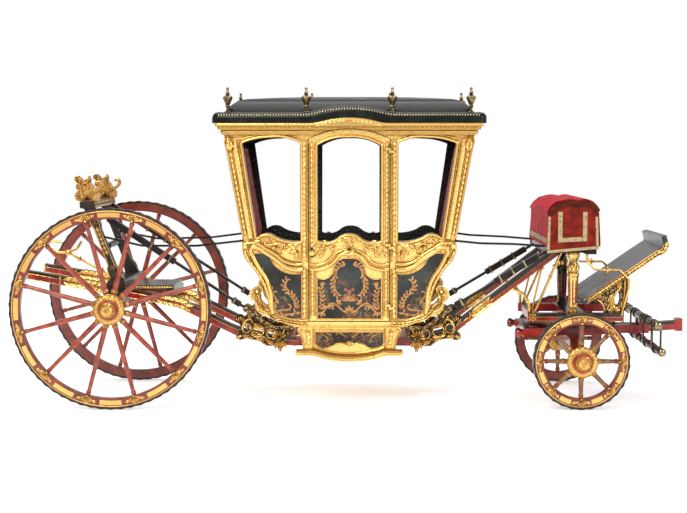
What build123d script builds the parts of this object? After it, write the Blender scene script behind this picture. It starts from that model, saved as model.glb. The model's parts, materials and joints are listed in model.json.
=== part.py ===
"""Horse-drawn state coach: a gilded cabin hung on leather braces between two crane-neck perches.

Millimetres, +X forward, +Y to the coach's left, +Z up. The origin is on the ground, under the middle
of the overall length. The right side (-Y) is modelled and the left side is its mirror.
"""

from build123d import *
import os
from math import atan, cos, degrees, pi, radians, sin, sqrt, tan

os.makedirs("parts", exist_ok=True)

# Running gear, along the coach
rear_wheel_radius = 840
front_wheel_radius = 405
wheelbase = 3906
pole_reach = 983  # pole tip ahead of the front axle
overall_length = rear_wheel_radius + wheelbase + pole_reach
rear_axle_x = rear_wheel_radius - overall_length / 2
front_axle_x = rear_axle_x + wheelbase

# Wheels
rear_rim_face_y = 840  # outer face of the rear rims
front_rim_face_y = 800
rim_width = 70
rim_depth = 95
tyre_thickness = 14
nail_height = 7  # tyre nails stand out by this much at their crowns
nail_pitch = 86
rear_spokes = 12
front_spokes = 8
spoke_foot_radius = 24
spoke_tip_radius = 16
hub_barrel_radius = 92
hub_flange_radius = 129
hub_nose_reach = 160  # nose tip outside the rim's face
hub_tail_reach = 125  # tail end inside the rim's inner face
hub_nose_wall = 46  # closed end of the bore
axle_arm_radius = 30
arm_clearance = 0.3
shoulder_gap = 3

# Cabin
body_x = -45  # middle of the cabin, and of its doors
wall = 36
waist_z = 1400
waist_half_width = 655
wall_top_z = 2280
wall_top_half_width = 720
wall_top_half_length = 1037
waist_half_length = 885
shoulder_z = 1420  # the end walls lean straight out from here up
floor_z = 665  # underside of the floor
floor_split_z = 850  # the end walls stand on the floor pan here
door_half_width = 335
door_bottom_z = 720
door_shoulder_z = 2245
door_crown_z = 2325
door_gap = 8
door_light_half_width = 262
step_reach = 70  # moulded step under each doorway, outside the wall
step_top_z = 472  # of the step's level ends
step_dip_z = 423  # of its bowed middle
step_thickness = 37
pocket_depth = 12
panel_thickness = 6
tilt = atan((wall_top_half_width - waist_half_width) / (wall_top_z - waist_z))

fit = 0.3  # between pieces that only touch

# Roof
cornice_height = 95
cornice_reach = 70
roof_reach = 95
roof_edge_height = 88
roof_crown_z = 2612
hood_half_width = 332
hood_rise = 45  # rise of the cornice over each door
brow_half_width = 400
brow_rise = 50  # rise of the roof's edge over each hood
arch_join = 0.69  # where the two arcs of an arch meet, as a share of its half width
finial_height = 215
finial_x = 1009
brow_finial_x = 357
finial_y = 655
dome_setback = (95, 166)  # dome's foot inside the roof's edge, along and across the coach
dome_shoulder = (182, 30)  # where the crown's arc ends: in from the foot, down from the crown
lip_radius = 45
roof_half_size = (wall_top_half_length + roof_reach, wall_top_half_width + roof_reach * 0.75)

# Perches
perch_y = 360
perch_width = 70
perch_height = 75
bed_half_length = 60
bracket_thickness = 50

# Braces
brace_y = 490
brace_width = 58
brace_thickness = 20
eye_clearance = 0.3
loop_bar = 26
cheek = 9  # thickness of a loop's cheeks

# Driver's seat and fore carriage
seat_beam_z = 1285
seat_beam_x = (front_axle_x - 226.5, front_axle_x + 93.5)
seat_half_width = 640
column_y = 360
kingpin_radius = 22
kingpin_clearance = 0.3
splinter_bar_x = front_axle_x + 628.5
splinter_bar_z = 700
pole_half_width = 46


def path_2d(start, steps, lift=None):
    """Edges from start through rows of (x, z) for a line or (mid x, mid z, x, z) for an arc."""
    lift = lift or (lambda z: z)
    here = (start[0], lift(start[1]))
    edges = Curve()
    for row in steps:
        there = (row[-2], lift(row[-1]))
        if len(row) == 4:
            edges += ThreePointArc(here, (row[0], lift(row[1])), there)
        else:
            edges += Line(here, there)
        here = there
    return edges


def closed_face(start, steps, lift=None):
    """Face inside a path, closed by a line if it doesn't end where it starts."""
    closing = [] if tuple(steps[-1][-2:]) == tuple(start) else [start]
    return make_face(path_2d(start, [*steps, *closing], lift))


def symmetric_face(start, steps, lift=None):
    """Face between a half outline, from the middle line to the middle line, and its mirror."""
    half = path_2d(start, steps, lift)
    return make_face(half + mirror(half, about=Plane.YZ))


def arched_face(half, low, top, arch_half, rise):
    """Face from low to a level top that sweeps up to an arch over the middle, in two arcs that run on."""
    join = (arch_half * arch_join, top + rise * (1 - arch_join))
    outline = Line((0, low), (half, low)) + Line((half, low), (half, top))
    if half > arch_half:
        outline += Line((half, top), (arch_half, top))
    outline += TangentArc((arch_half, top), join, tangent=(-1, 0))
    outline += TangentArc((0, top + rise), join, tangent=(1, 0))
    return make_face(outline + mirror(outline, about=Plane.YZ))


def slab(face, y0, y1, x=0):
    """Solid of an X-Z face between two values of Y."""
    solid = extrude(Plane.XZ * face, amount=(y1 - y0) / 2, both=True)
    return Pos(x, (y0 + y1) / 2, 0) * solid


def block(x0, x1, y0, y1, z0, z1):
    """Box between two corners, in any order."""
    return Pos((x0 + x1) / 2, (y0 + y1) / 2, (z0 + z1) / 2) * Box(abs(x1 - x0), abs(y1 - y0), abs(z1 - z0))


def both_sides(right):
    """A right-hand piece together with its left-hand mirror, as solids that don't touch."""
    solids = [*right.solids(), *mirror(right, about=Plane.XZ).solids()]
    return Compound(children=solids)


def rod(points, radius, bend):
    """Round iron along rounded runs."""
    path = FilletPolyline(*points, radius=bend) if len(points) > 2 else Line(*points)
    start = Plane(origin=path @ 0, z_dir=path % 0)
    return sweep(start * Circle(radius), path=path)


def bar(points, width, height, bend):
    """Rectangular bar along rounded runs in an X-Z plane, its width across Y."""
    path = FilletPolyline(*points, radius=bend) if len(points) > 2 else Line(*points)
    start = Plane(origin=path @ 0, x_dir=(0, 1, 0), z_dir=path % 0)
    return sweep(start * Rectangle(width, height), path=path)


def turned(profile, origin, direction):
    """Revolve of rows of (radius, height) about an axis from origin."""
    rows = [p for p in ((0, profile[0][1]), *profile, (0, profile[-1][1]))]
    rows = [p for i, p in enumerate(rows) if p != rows[i - 1]]
    face = make_face(Polyline(*rows, close=True))
    body = revolve(Plane.XZ * face, axis=Axis.Z)
    return Plane(origin=origin, z_dir=direction) * body


# Wheels

def tyre(radius):
    """Iron strakes, scalloped by the crowns of their nails, about the Y axis."""
    count = 4 * round((2 * pi * radius / nail_pitch - 2) / 4) + 2  # puts a nail on the ground
    valley = radius - nail_height

    def at(r, turns):
        return (r * cos(2 * pi * turns / count), r * sin(2 * pi * turns / count))

    crowns = [at(valley if half % 2 == 0 else radius, half / 2) for half in range(2 * count)]
    ring = make_face(Polyline(*crowns, close=True)) - Circle(radius - nail_height - tyre_thickness)
    return slab(ring, -rim_width / 2, rim_width / 2)


def hub():
    """Turned hub about the Y axis, nose towards -Y, bored for the axle arm."""
    face = -rim_width / 2  # y of the rim's outer face in the wheel's own frame
    nose = face - hub_nose_reach
    tail = rim_width / 2 + hub_tail_reach
    profile = [  # radius, y
        (0, nose), (34, nose), (46, nose + 10), (50, nose + 30), (40, nose + 42), (62, nose + 50),
        (66, nose + 74), (74, nose + 84), (84, face - 62), (112, face - 56),
        (hub_flange_radius, face - 46), (hub_flange_radius, face - 24), (108, face - 14),
        (hub_barrel_radius, face - 6), (hub_barrel_radius, 44), (102, 52), (102, 76), (84, 86),
        (72, tail - 20), (76, tail), (0, tail),
    ]
    outer = revolve(make_face(Polyline(*profile, close=True)), axis=Axis.Y)
    depth = tail - nose - hub_nose_wall
    bore = Cylinder(axle_arm_radius + arm_clearance, depth, align=(Align.CENTER, Align.CENTER, Align.MIN))
    return outer - Pos(0, tail, 0) * Rot(90, 0, 0) * bore


def wheel_wood(radius, spokes, hub_solid):
    """Felloes and tapered spokes, cut to seat on the hub."""
    outer = radius - nail_height - tyre_thickness
    inner = radius - rim_depth
    edge = 6
    section = make_face(Polyline(
        (inner + edge, -rim_width / 2), (outer, -rim_width / 2), (outer, rim_width / 2),
        (inner + edge, rim_width / 2), (inner, rim_width / 2 - edge), (inner, edge - rim_width / 2), close=True))
    wood = revolve(section, axis=Axis.Y)
    foot = hub_barrel_radius - 8
    for i in range(spokes):
        length = inner + 4 - foot
        spoke = Pos(0, 0, foot + length / 2) * Cone(spoke_foot_radius, spoke_tip_radius, length)
        wood += Rot(0, 360 * (i + 0.5 * (spokes == rear_spokes)) / spokes, 0) * spoke
    return wood - hub_solid


def wheel_set(axle_x, radius, spokes, face_y):
    """Tyre, wood and hub of the right-hand wheel of an axle, in place."""
    place = Pos(axle_x, -face_y + rim_width / 2, radius)
    hub_solid = hub()
    return {
        "tyre": place * tyre(radius),
        "wheel": place * wheel_wood(radius, spokes, hub_solid),
        "hub": place * hub_solid,
    }


def axle(axle_x, radius, face_y, bar_side):
    """Square iron bar with a round arm into each hub."""
    shoulder_y = face_y - rim_width - hub_tail_reach - shoulder_gap
    arm_end = face_y + hub_nose_reach - hub_nose_wall - shoulder_gap
    half = bar_side / 2
    iron = block(axle_x - half, axle_x + half, -shoulder_y, shoulder_y, radius - half, radius + half)
    for side in (1, -1):
        middle = side * (shoulder_y + arm_end) / 2
        iron += Pos(axle_x, middle, radius) * Rot(90, 0, 0) * Cylinder(axle_arm_radius, arm_end - shoulder_y)
    return iron


# Perches and rear carriage

def to_axle(axle_x, share):
    """Point that lies a share of the way from the cabin's middle to an axle."""
    return body_x + share * (axle_x - body_x)


perch_route = [  # x, z along the middle of a perch
    (rear_axle_x - 785.5, 1090), (rear_axle_x, 958), (to_axle(rear_axle_x, 0.735), 845),
    (to_axle(rear_axle_x, 0.4824), 600), (to_axle(rear_axle_x, 0.3006), 520),
    (to_axle(front_axle_x, 0.2829), 520), (to_axle(front_axle_x, 0.4386), 600), (front_axle_x - 141.5, 1315),
]


def perches():
    """The two crane-neck beams, trimmed under the seat beam."""
    route = [(x, -perch_y, z) for x, z in perch_route]
    beam = bar(route, perch_width, perch_height, 180)
    return both_sides(beam - block(front_axle_x - 480, front_axle_x + 20, -500, 0, seat_beam_z, seat_beam_z + 200))


def rear_bed(perch_pair):
    top = perch_route[1][1]
    bed = block(rear_axle_x - bed_half_length, rear_axle_x + bed_half_length, -560, 560,
                rear_wheel_radius + 30, top)
    return bed - perch_pair


def rear_transom(perch_pair):
    low = perch_route[1][1]
    beam = block(rear_axle_x - 75, rear_axle_x + 75, -500, 500, low, low + 92)
    return fillet(beam.edges().filter_by(Axis.Y).group_by(Axis.Z)[-1], 14) - perch_pair


standard_foot = (rear_axle_x, perch_route[1][1] + 92)
standard_head = (rear_axle_x - 235, 1660)


def standard_x(z):
    """Middle of the raked standards at height z."""
    share = (z - standard_foot[1]) / (standard_head[1] - standard_foot[1])
    return standard_foot[0] + share * (standard_head[0] - standard_foot[0])


def rear_standards():
    """Two raked posts with a swelling foot and a capital."""
    def side(sign):
        rows = [(standard_foot[1], 62), (1130, 50), (1180, 34), (1480, 30), (1530, 46), (1580, 34), (standard_head[1], 50)]
        return [(standard_x(z) + sign * half, z) for z, half in rows]

    outline = make_face(Polyline(*side(-1), *reversed(side(1)), close=True))
    return both_sides(slab(outline, -435, -365))


def rear_rails():
    """Cross rails of the standards: a turned one halfway and a moulded one on top."""
    mid_z = 1330
    middle = [(20, -365), (20, -300), (34, -285), (34, -255), (22, -240), (28, 0), (22, 240), (34, 255), (34, 285), (20, 300), (20, 365)]
    turned_rail = turned(middle, (standard_x(mid_z), 0, mid_z), (0, 1, 0))
    top = block(standard_head[0] - 62, standard_head[0] + 62, -520, 520, standard_head[1], standard_head[1] + 60)
    top = fillet(top.edges().filter_by(Axis.Y), 12)
    return Compound(children=[*turned_rail.solids(), *top.solids()])


def rear_crests():
    """Leafy scroll crests on the ends of the top rail."""
    outline = closed_face((-80, 0), [
        (-104, 50, -70, 92), (-96, 120, -78, 150), (-88, 175, -92, 205), (-60, 190, -42, 178),
        (-10, 186, 12, 214), (22, 190, 10, 168), (52, 120, 62, 70), (92, 66, 96, 30), (96, 10, 80, 0)])
    crest = slab(outline, -480, -400, x=standard_head[0] - 6)
    return both_sides(Pos(0, 0, standard_head[1] + 60) * crest)


deck_reach = 464.5  # deck's front edge ahead of the rear axle


def rear_deck(perch_pair):
    """Short deck ahead of the rear transom, on a crosspiece that sits on the perches."""
    front = rear_axle_x + deck_reach
    top = perch_route[1][1] - 6
    board = block(rear_axle_x + 75, front, -300, 300, top, top + 38)
    cross = block(front - 60, front, -400, 400, top - 92, top) - perch_pair
    return board + cross


def perch_cross_bars():
    """Two bars that tie the perches under the cabin's ends."""
    inner = perch_y - perch_width / 2
    bars = [block(x - 35, x + 35, -inner, inner, 490, 550) for x in (-560, 430)]
    return Compound(children=[s for b in bars for s in b.solids()])


bracket_outline = [  # x, z pairs from the leaf drop round the scrolled console, for the front bracket
    (488, 505, 470, 548), (452, 600, 500, 628), (545, 700, 610, 668), (650, 735, 720, 700),
    (770, 760, 835, 735), (905, 742, 905, 690), (868, 655, 872, 612), (900, 560, 852, 540),
    (760, 548, 690, 520), (640, 488, 560, 500), (548, 470, 530, 436)]


def perch_brackets(sign):
    """Carved consoles on the outer faces of the perches, under the cabin's front or rear corners."""
    outline = closed_face((530, 436), bracket_outline)
    for cx, cz, r in ((600, 590, 34), (712, 618, 42), (812, 640, 34)):
        outline -= Pos(cx, cz) * Circle(r)
    outer = -perch_y - perch_width / 2
    plate = slab(outline, outer - bracket_thickness, outer)
    if sign < 0:
        plate = Pos(2 * body_x - 20, 0, 0) * mirror(plate, about=Plane.YZ)
    return both_sides(plate)


# Braces and their loops

loop_pin = {1: (body_x + 845, 812), -1: (body_x - 875, 812)}  # x, z where a brace meets its loop, front and rear
brace_head = {1: (seat_beam_x[0], seat_beam_z + 40), -1: (standard_head[0], standard_head[1] + 30)}
brace_eye_radius = 15


def brace(end, carrier):
    """Strap stack with a buckle block, from the eye round its pin to the face of its carrier."""
    (x0, z0), (x1, z1) = loop_pin[end], brace_head[end]
    length = sqrt((x1 - x0) ** 2 + (z1 - z0) ** 2)
    angle = degrees(atan((z1 - z0) / (x1 - x0))) + (180 if x1 < x0 else 0)
    strap = Pos(length / 2, 0, 0) * Box(length, brace_width, brace_thickness)
    strap += Pos(100, 0, 0) * Box(80, brace_width + 8, brace_thickness + 26)
    strap += Pos(length * 0.66, 0, 0) * Box(length * 0.42, brace_width, brace_thickness + 30)
    strap += Rot(90, 0, 0) * Cylinder(brace_eye_radius + brace_thickness * 0.7, brace_width)
    strap -= Rot(90, 0, 0) * Cylinder(brace_eye_radius + eye_clearance, brace_width + 2)
    placed = Pos(x0, -brace_y, z0) * Rot(0, -angle, 0) * strap
    return both_sides(placed - carrier)


def body_loops():
    """Iron loops under the cabin's corners, from the floor pan's edge out to the braces."""
    loops = []
    low = floor_z - loop_bar / 2
    for end in (1, -1):
        x, z = loop_pin[end]
        fork = (x - end * 62, z - 58)
        route = [(body_x + end * 320, -brace_y, low), (body_x + end * 640, -brace_y, low), (fork[0], -brace_y, fork[1])]
        loop = bar(route, 44, loop_bar, 60)
        cheek_y = (brace_width + 8) / 2 + 1 + cheek / 2
        loop += Pos(fork[0], -brace_y, fork[1]) * Box(30, 2 * cheek_y + cheek, 30)
        for side in (1, -1):
            arm = [(fork[0], -brace_y + side * cheek_y, fork[1]), (x, -brace_y + side * cheek_y, z)]
            loop += bar(arm, cheek, 30, 0)
            loop += Pos(x, -brace_y + side * cheek_y, z) * Rot(90, 0, 0) * Cylinder(22, cheek)
        loop += Pos(x, -brace_y, z) * Rot(90, 0, 0) * Cylinder(brace_eye_radius, 2 * cheek_y)
        loops += loop.solids()
    return both_sides(Compound(children=loops))


def corner_scrolls(shell):
    """Gilded scrolls that rise outside the cabin's lower corners, trimmed to its shell."""
    leaf = closed_face((640, 770), [
        (770, 790, 800, 880), (840, 960, 790, 1000), (745, 1010, 748, 950), (735, 880, 650, 850)])
    right = slab(leaf, -560, -500, x=body_x) - shell
    rear = Pos(2 * body_x, 0, 0) * mirror(right, about=Plane.YZ)
    return both_sides(Compound(children=[*right.solids(), *rear.solids()]))


# Cabin

def side_y(z):
    """Half width of the cabin's outer face at height z."""
    return waist_half_width + (z - waist_z) * tan(tilt)


def lift(z):
    """Height z measured up the tilted side wall from the waist."""
    return (z - waist_z) / cos(tilt)


side_plane = Plane(origin=(body_x, -waist_half_width, waist_z), x_dir=(1, 0, 0),
                   z_dir=(0, -cos(tilt), -sin(tilt)))

def cabin_outline(top=wall_top_z):
    """Half outline of the cabin from the floor's middle round to the middle of its top."""
    slope = (wall_top_half_length - waist_half_length) / (wall_top_z - shoulder_z)
    corner = wall_top_half_length + slope * (top - wall_top_z)
    return [(420, floor_z), (590, 724, 668, 800), (676, 830, 680, 862), (742, 1062, 858, 1225),
            (896, 1330, waist_half_length, shoulder_z), (corner, top), (0, top)]


def on_side(face, depth, start=0):
    """Solid in the right-hand wall, from start to start + depth inside its outer face."""
    placed = side_plane.offset(-start) * face
    return extrude(placed, amount=-depth)


def doorway(gap):
    """Door outline, grown by a gap."""
    half = door_half_width + gap
    return symmetric_face((0, door_bottom_z - gap), [
        (half, door_bottom_z - gap), (half, door_shoulder_z),
        (half * 0.55, door_crown_z - 22 + gap, 0, door_crown_z + gap)], lift)


def door_light():
    """Window of the door, with its serpentine sill and arched head."""
    half = door_light_half_width
    return symmetric_face((0, 1458), [
        (50, 1452, 96, 1426), (150, 1396, half, 1400), (half, 2190), (half * 0.6, 2238, 0, 2256)], lift)


def quarter_light():
    """Window ahead of the door."""
    near, far = door_half_width + 73, wall_top_half_length - 153

    def along(share):
        return near + share * (far - near)

    return closed_face((near, 1396), [
        (520, 1402, 610, 1432), (690, 1462, waist_half_length - 115, 1428), (far, 2208),
        (along(0.82), 2236, along(0.51), 2254), (along(0.24), 2250, near, 2210)], lift)


def quarter_pocket():
    """Painted panel ahead of the door."""
    return closed_face((400, 742), [
        (520, 748, 622, 800), (650, 930, 700, 1040), (760, 1150, 836, 1262), (740, 1290, 640, 1205),
        (540, 1130, 400, 1120)], lift)


def door_pocket():
    """Painted panel of the door, with its ogee head."""
    return symmetric_face((0, 742), [
        (265, 742), (265, 1080), (190, 1075, 130, 1150), (90, 1225, 0, 1245)], lift)


def skirt_outline():
    """Valance under the doorway."""
    return symmetric_face((0, step_dip_z), [
        (160, step_dip_z + 12, 290, step_top_z), (392, step_top_z), (398, 540, 410, 590),
        (430, 610, 436, 634), (431, 655, 412, floor_z), (0, floor_z)], lift)


def skirt_pocket():
    """Painted panel of the valance, with its wavy lower edge."""
    return symmetric_face((0, 500), [
        (80, 524, 150, 496), (205, 481, 285, 516), (285, 622), (0, 622)], lift)


def mirrored(face):
    """The same face ahead of and behind the door."""
    return face, mirror(face, about=Plane.YZ)


def side_wall():
    """Right-hand wall with its doorway, two windows and the pockets for the painted panels."""
    solid = on_side(symmetric_face((0, floor_z), cabin_outline(), lift), wall)
    solid -= on_side(doorway(door_gap), 3 * wall, -wall)
    for face in mirrored(quarter_light()):
        solid -= on_side(face, 3 * wall, -wall)
    for face in mirrored(quarter_pocket()):
        solid -= on_side(face, pocket_depth)
    return solid + hinge_knuckles(0)


def quarter_panels():
    """Painted boards in the pockets of the right-hand wall and of the valance."""
    start = pocket_depth - panel_thickness
    boards = [on_side(face, panel_thickness, start) for face in mirrored(quarter_pocket())]
    boards.append(on_side(skirt_pocket(), panel_thickness, start))
    return both_sides(Compound(children=[s for b in boards for s in b.solids()]))


hinge_radius = 9
hinge_pin_radius = 5
hinge_lift = 15  # hinge axis outside the wall's face
hinge_length = 66
hinge_heights = (820, 1330, 2130)


def hinge_knuckles(part):
    """Barrels on the hinge line: 0 the wall's pins, 1 the door's eyes."""
    solids = None
    for z in hinge_heights:
        v = lift(z)
        third = hinge_length / 3
        at = v + (third if part else 0)
        barrel = Cylinder(hinge_radius, third - 1, align=(Align.CENTER, Align.CENTER, Align.MIN))
        reach = 34
        sign = -1 if part else 1
        leaf = Pos(sign * reach / 2, hinge_lift / 2 + 1, third / 2) * Box(reach, hinge_lift + 2, third - 1)
        pin = Cylinder(hinge_pin_radius + (fit if part else 0), 2 * third, align=(Align.CENTER, Align.CENTER, Align.MIN))
        knuckle = barrel + Pos(0, 0, -0.5) * leaf
        knuckle = knuckle - pin if part else knuckle + pin
        local = Rot(-90, 0, 0) * knuckle
        placed = side_plane * Pos(door_half_width + door_gap / 2, at, hinge_lift) * local
        solids = placed if solids is None else solids + placed
    return solids


def door():
    """Right-hand door with its window and pocket, handle and hinge eyes."""
    solid = on_side(doorway(0), wall) - on_side(door_light(), 3 * wall, -wall)
    solid -= on_side(door_pocket(), pocket_depth)
    handle = [(0, 0), (16, 0), (16, 8), (7, 12), (7, 26), (22, 32), (22, 40), (0, 46)]
    spindle = revolve(Plane.XZ * make_face(Polyline(*handle, close=True)), axis=Axis.Z)
    solid += side_plane * Pos(24 - door_half_width, lift(1300), 0) * spindle
    return solid + hinge_knuckles(1)


def door_panel():
    return on_side(door_pocket(), panel_thickness, pocket_depth - panel_thickness)


def cabin_ring():
    """Floor pan and end walls in one: the cabin outline's shell between the side walls."""
    outer = symmetric_face((0, floor_z), cabin_outline())
    ring = slab(outer, -900, 900, body_x) - slab(room_face(0), -901, 901, body_x)
    low, high = floor_z - 5, wall_top_z
    inner_y = [side_y(z) - wall / cos(tilt) for z in (low, high)]
    between = make_face(Polyline((-inner_y[0], low), (inner_y[0], low), (inner_y[1], high), (-inner_y[1], high), close=True))
    return ring & extrude(Plane.YZ * between, amount=1300, both=True)


def end_panel_layer():
    """Painted boards laid on the outside of the end walls."""
    outer = symmetric_face((0, floor_z), cabin_outline())
    grown = offset(outer, amount=panel_thickness, kind=Kind.ARC)
    layer = slab(grown, -520, 520, body_x) - slab(outer, -530, 530, body_x)
    keep = [block(body_x + s * 620, body_x + s * 1100, -520, 520, 900, 1340) for s in (1, -1)]
    keep += [block(body_x + s * 620, body_x + s * 1100, -520, 520, 1440, 2200) for s in (1, -1)]
    pieces = [s for k in keep for s in (layer & k).solids()]
    return Compound(children=pieces)


def sill_skirts():
    """Valances under the doorways, each with a moulded step along its foot."""
    valance = on_side(skirt_outline(), wall) - on_side(skirt_pocket(), pocket_depth)
    low, high = step_dip_z - step_thickness, step_top_z - step_thickness
    step_face = symmetric_face((0, low), [
        (160, low + 12, 300, high), (445, high), (454, high + step_thickness / 2, 445, step_top_z),
        (290, step_top_z), (160, step_dip_z + 12, 0, step_dip_z)], lift)
    return both_sides(valance + on_side(step_face, wall + step_reach, -step_reach))


def cornice():
    """Gilded cornice on the wall tops, hooded over each door."""
    ring = None
    steps = ((0, 40, 22), (40, 68, 48), (68, cornice_height, cornice_reach))  # low, high, reach
    for low, high, reach in steps:
        plate = block(body_x - wall_top_half_length - reach, body_x + wall_top_half_length + reach,
                      -wall_top_half_width - reach, wall_top_half_width + reach, wall_top_z + low, wall_top_z + high)
        ring = plate if ring is None else ring + plate
    inside = block(body_x - wall_top_half_length + wall, body_x + wall_top_half_length - wall,
                   -wall_top_half_width + wall, wall_top_half_width - wall, wall_top_z - 1, wall_top_z + cornice_height + 1)
    ring = fillet(ring.edges().filter_by(Axis.Z), 18) - inside
    right = slab(hood_face(), -wall_top_half_width - cornice_reach, -wall_top_half_width + wall, body_x)
    ring = ring + right + mirror(right, about=Plane.XZ)
    opening = on_side(doorway(door_gap), 3 * wall, -2 * wall)
    wall_top = on_side(Pos(0, lift(wall_top_z) - 20) * Rectangle(3000, 40), wall)
    for cut in (opening, wall_top):
        ring = ring - cut - mirror(cut, about=Plane.XZ)
    return ring


def hood_face():
    """Low arch of the cornice over a door."""
    base = wall_top_z + cornice_height
    return arched_face(hood_half_width, base - 20, base, hood_half_width, hood_rise)


def dome_profile(half, setback, drop):
    """Half section of the dome: a wide arc over the crown that runs on into a tighter one at the foot."""
    top = wall_top_z + cornice_height + roof_edge_height - drop
    crown = roof_crown_z - drop
    foot = half - setback
    shoulder = (foot - dome_shoulder[0], crown - dome_shoulder[1])
    over = TangentArc((0, crown), shoulder, tangent=(1, 0))
    down = TangentArc(shoulder, (foot, top), tangent=over % 1)
    outline = Line((0, top - 70), (foot, top - 70)) + Line((foot, top - 70), (foot, top)) + down + over
    return make_face(outline + mirror(outline, about=Plane.YZ))


def dome(inset, drop):
    """Dome that follows its sections along and across the coach, drawn in by an inset and a drop."""
    (half_x, half_y), (setback_x, setback_y) = roof_half_size, dome_setback
    along = slab(dome_profile(half_x, setback_x + inset, drop), -half_y, half_y)
    across = extrude(Plane.YZ * dome_profile(half_y, setback_y + inset, drop), amount=half_x, both=True)
    return Pos(body_x, 0, 0) * (along & across)


def roof():
    """Leather-covered roof: an overhanging edge with a rolled lip that arches over the doors, and a hollow dome."""
    base = wall_top_z + cornice_height
    top = base + roof_edge_height
    half_x, half_y = roof_half_size
    side = arched_face(half_x, base, top, brow_half_width, brow_rise)
    edge = slab(side, -half_y, half_y, body_x)
    edge = fillet(edge.edges().filter_by(Axis.Z), 60)
    rim = [e for e in edge.edges() if e.center().Z > top - 1]
    solid = fillet(rim, lip_radius) + dome(0, 0)
    return solid - dome(40, 34) - slab(hood_face(), -1000, 1000, body_x)


def finials(carrier):
    """Eight brass vases on the roof: at the corners and over the door pillars."""
    base = wall_top_z + cornice_height + roof_edge_height
    profile = [(26, -30), (26, 8), (12, 18), (12, 40), (20, 50), (16, 62), (40, 116), (42, 128),
               (24, 140), (12, 150), (20, 160), (12, 172), (9, 190), (14, 200), (0, finial_height)]
    out = []
    for x in (-finial_x, -brow_finial_x, brow_finial_x, finial_x):
        for y in (-finial_y, finial_y):
            vase = turned(profile, (body_x + x, y, base), (0, 0, 1)) - carrier
            out.append(vase.solids().sort_by(SortBy.VOLUME)[-1])
    return Compound(children=out)


bench_top_z = 1080
cushion_height = 95


def room_face(gap):
    """The cabin's inside seen from the side, open above, drawn in by a gap."""
    outline = symmetric_face((0, floor_z), cabin_outline(wall_top_z + 3 * wall))
    return offset(outline, amount=-wall - gap, kind=Kind.ARC)


def benches():
    """Wooden seat boxes against the end walls."""
    half = side_y(floor_z) - wall / cos(tilt) - 4
    room = slab(room_face(fit), -half, half, body_x)
    out = []
    for s in (1, -1):
        out += (room & block(body_x + s * 290, body_x + s * 700, -half, half, floor_z, bench_top_z)).solids()
    return Compound(children=out)


def seat_cushions():
    out = []
    half = side_y(bench_top_z) - wall / cos(tilt) - 14
    for s in (1, -1):
        x0, x1 = sorted((body_x + s * 255, body_x + s * 655))
        pad = block(x0, x1, -half, half, bench_top_z, bench_top_z + cushion_height)
        out += fillet(pad.edges(), 24).solids()
    return Compound(children=out)


def wall_squabs():
    """Padded linings on the inside of the end walls, above the cushions."""
    low, high, thick = bench_top_z + cushion_height + 40, 2190, 40
    half = side_y(low) - wall / cos(tilt) - 12
    layer = slab(room_face(fit), -half, half, body_x) - slab(room_face(thick), -half - 1, half + 1, body_x)
    out = []
    for s in (1, -1):
        x0, x1 = sorted((body_x + s * 500, body_x + s * 1100))
        out += (layer & block(x0, x1, -half, half, low, high)).solids()
    return Compound(children=out)


# Driver's seat

def seat_frame():
    """Two cross beams and two side rails under the driver's seat."""
    low, high = seat_beam_z, seat_beam_z + 62
    beams = [block(x - 45, x + 45, -seat_half_width + 20, seat_half_width - 20, low, high) for x in seat_beam_x]
    rails = [block(*seat_beam_x, s * 400 - 35, s * 400 + 35, low, high) for s in (1, -1)]
    return beams[0] + beams[1] + rails[0] + rails[1]


def hammercloth():
    """The draped driver's seat, as one soft solid with an arched top."""
    low = seat_beam_z + 62.3
    outline = closed_face((-283.5, low), [
        (158.5, low), (146.5, 1668), (108.5, 1718, -21.5, 1732), (-181.5, 1722, -269.5, 1640)])
    return slab(outline, -seat_half_width, seat_half_width, front_axle_x)


def front_columns():
    """Turned columns from the upper carriage to the seat frame."""
    low, high = upper_top_z, seat_beam_z
    rows = [(46, low), (46, low + 22), (34, low + 34), (38, low + 46), (46, low + 300), (51, low + 312),
            (51, low + 334), (38, low + 346), (46, low + 400), (34, low + 440), (50, high - 46), (54, high - 20), (54, high)]
    column = turned(rows, (0, 0, 0), (0, 0, 1))
    return both_sides(Pos(column_x, -column_y, 0) * column)


upper_low_z = 676
upper_top_z = 770
column_x = front_axle_x - 20
upper_rear_x = front_axle_x - 411.5
upper_front_x = front_axle_x + 403.5  # clear of the splinter bar at full lock


def upper_carriage():
    """Front bolster with side beams, the upper turntable plate and the kingpin."""
    frame = block(front_axle_x - 90, front_axle_x + 90, -480, 480, upper_low_z, upper_top_z)
    for s in (1, -1):
        frame += block(upper_rear_x, upper_front_x, s * 400 - 35, s * 400 + 35, upper_low_z + 24, upper_top_z)
    frame += block(upper_rear_x + 20, upper_rear_x + 80, -400, 400, upper_low_z + 24, upper_top_z)
    plate = Pos(front_axle_x, 0, upper_low_z - 9) * (Cylinder(400, 18) - Cylinder(330, 20))
    arms = block(front_axle_x - 40, front_axle_x + 40, -370, 370, upper_low_z - 18, upper_low_z)
    pin_low = 470
    pin = Pos(front_axle_x, 0, (pin_low + upper_low_z) / 2) * Cylinder(kingpin_radius, upper_low_z - pin_low)
    return frame + plate + arms + pin


footboard_route = [(63.5, 860), (678.5, 1282), (754.5, 1330), (730.5, 1430)]  # x ahead of the front axle


def footboard():
    """Sloping board that curls up at its front end."""
    route = [(front_axle_x + x, 0, z) for x, z in footboard_route]
    return bar(route, 900, 46, 40)


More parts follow.
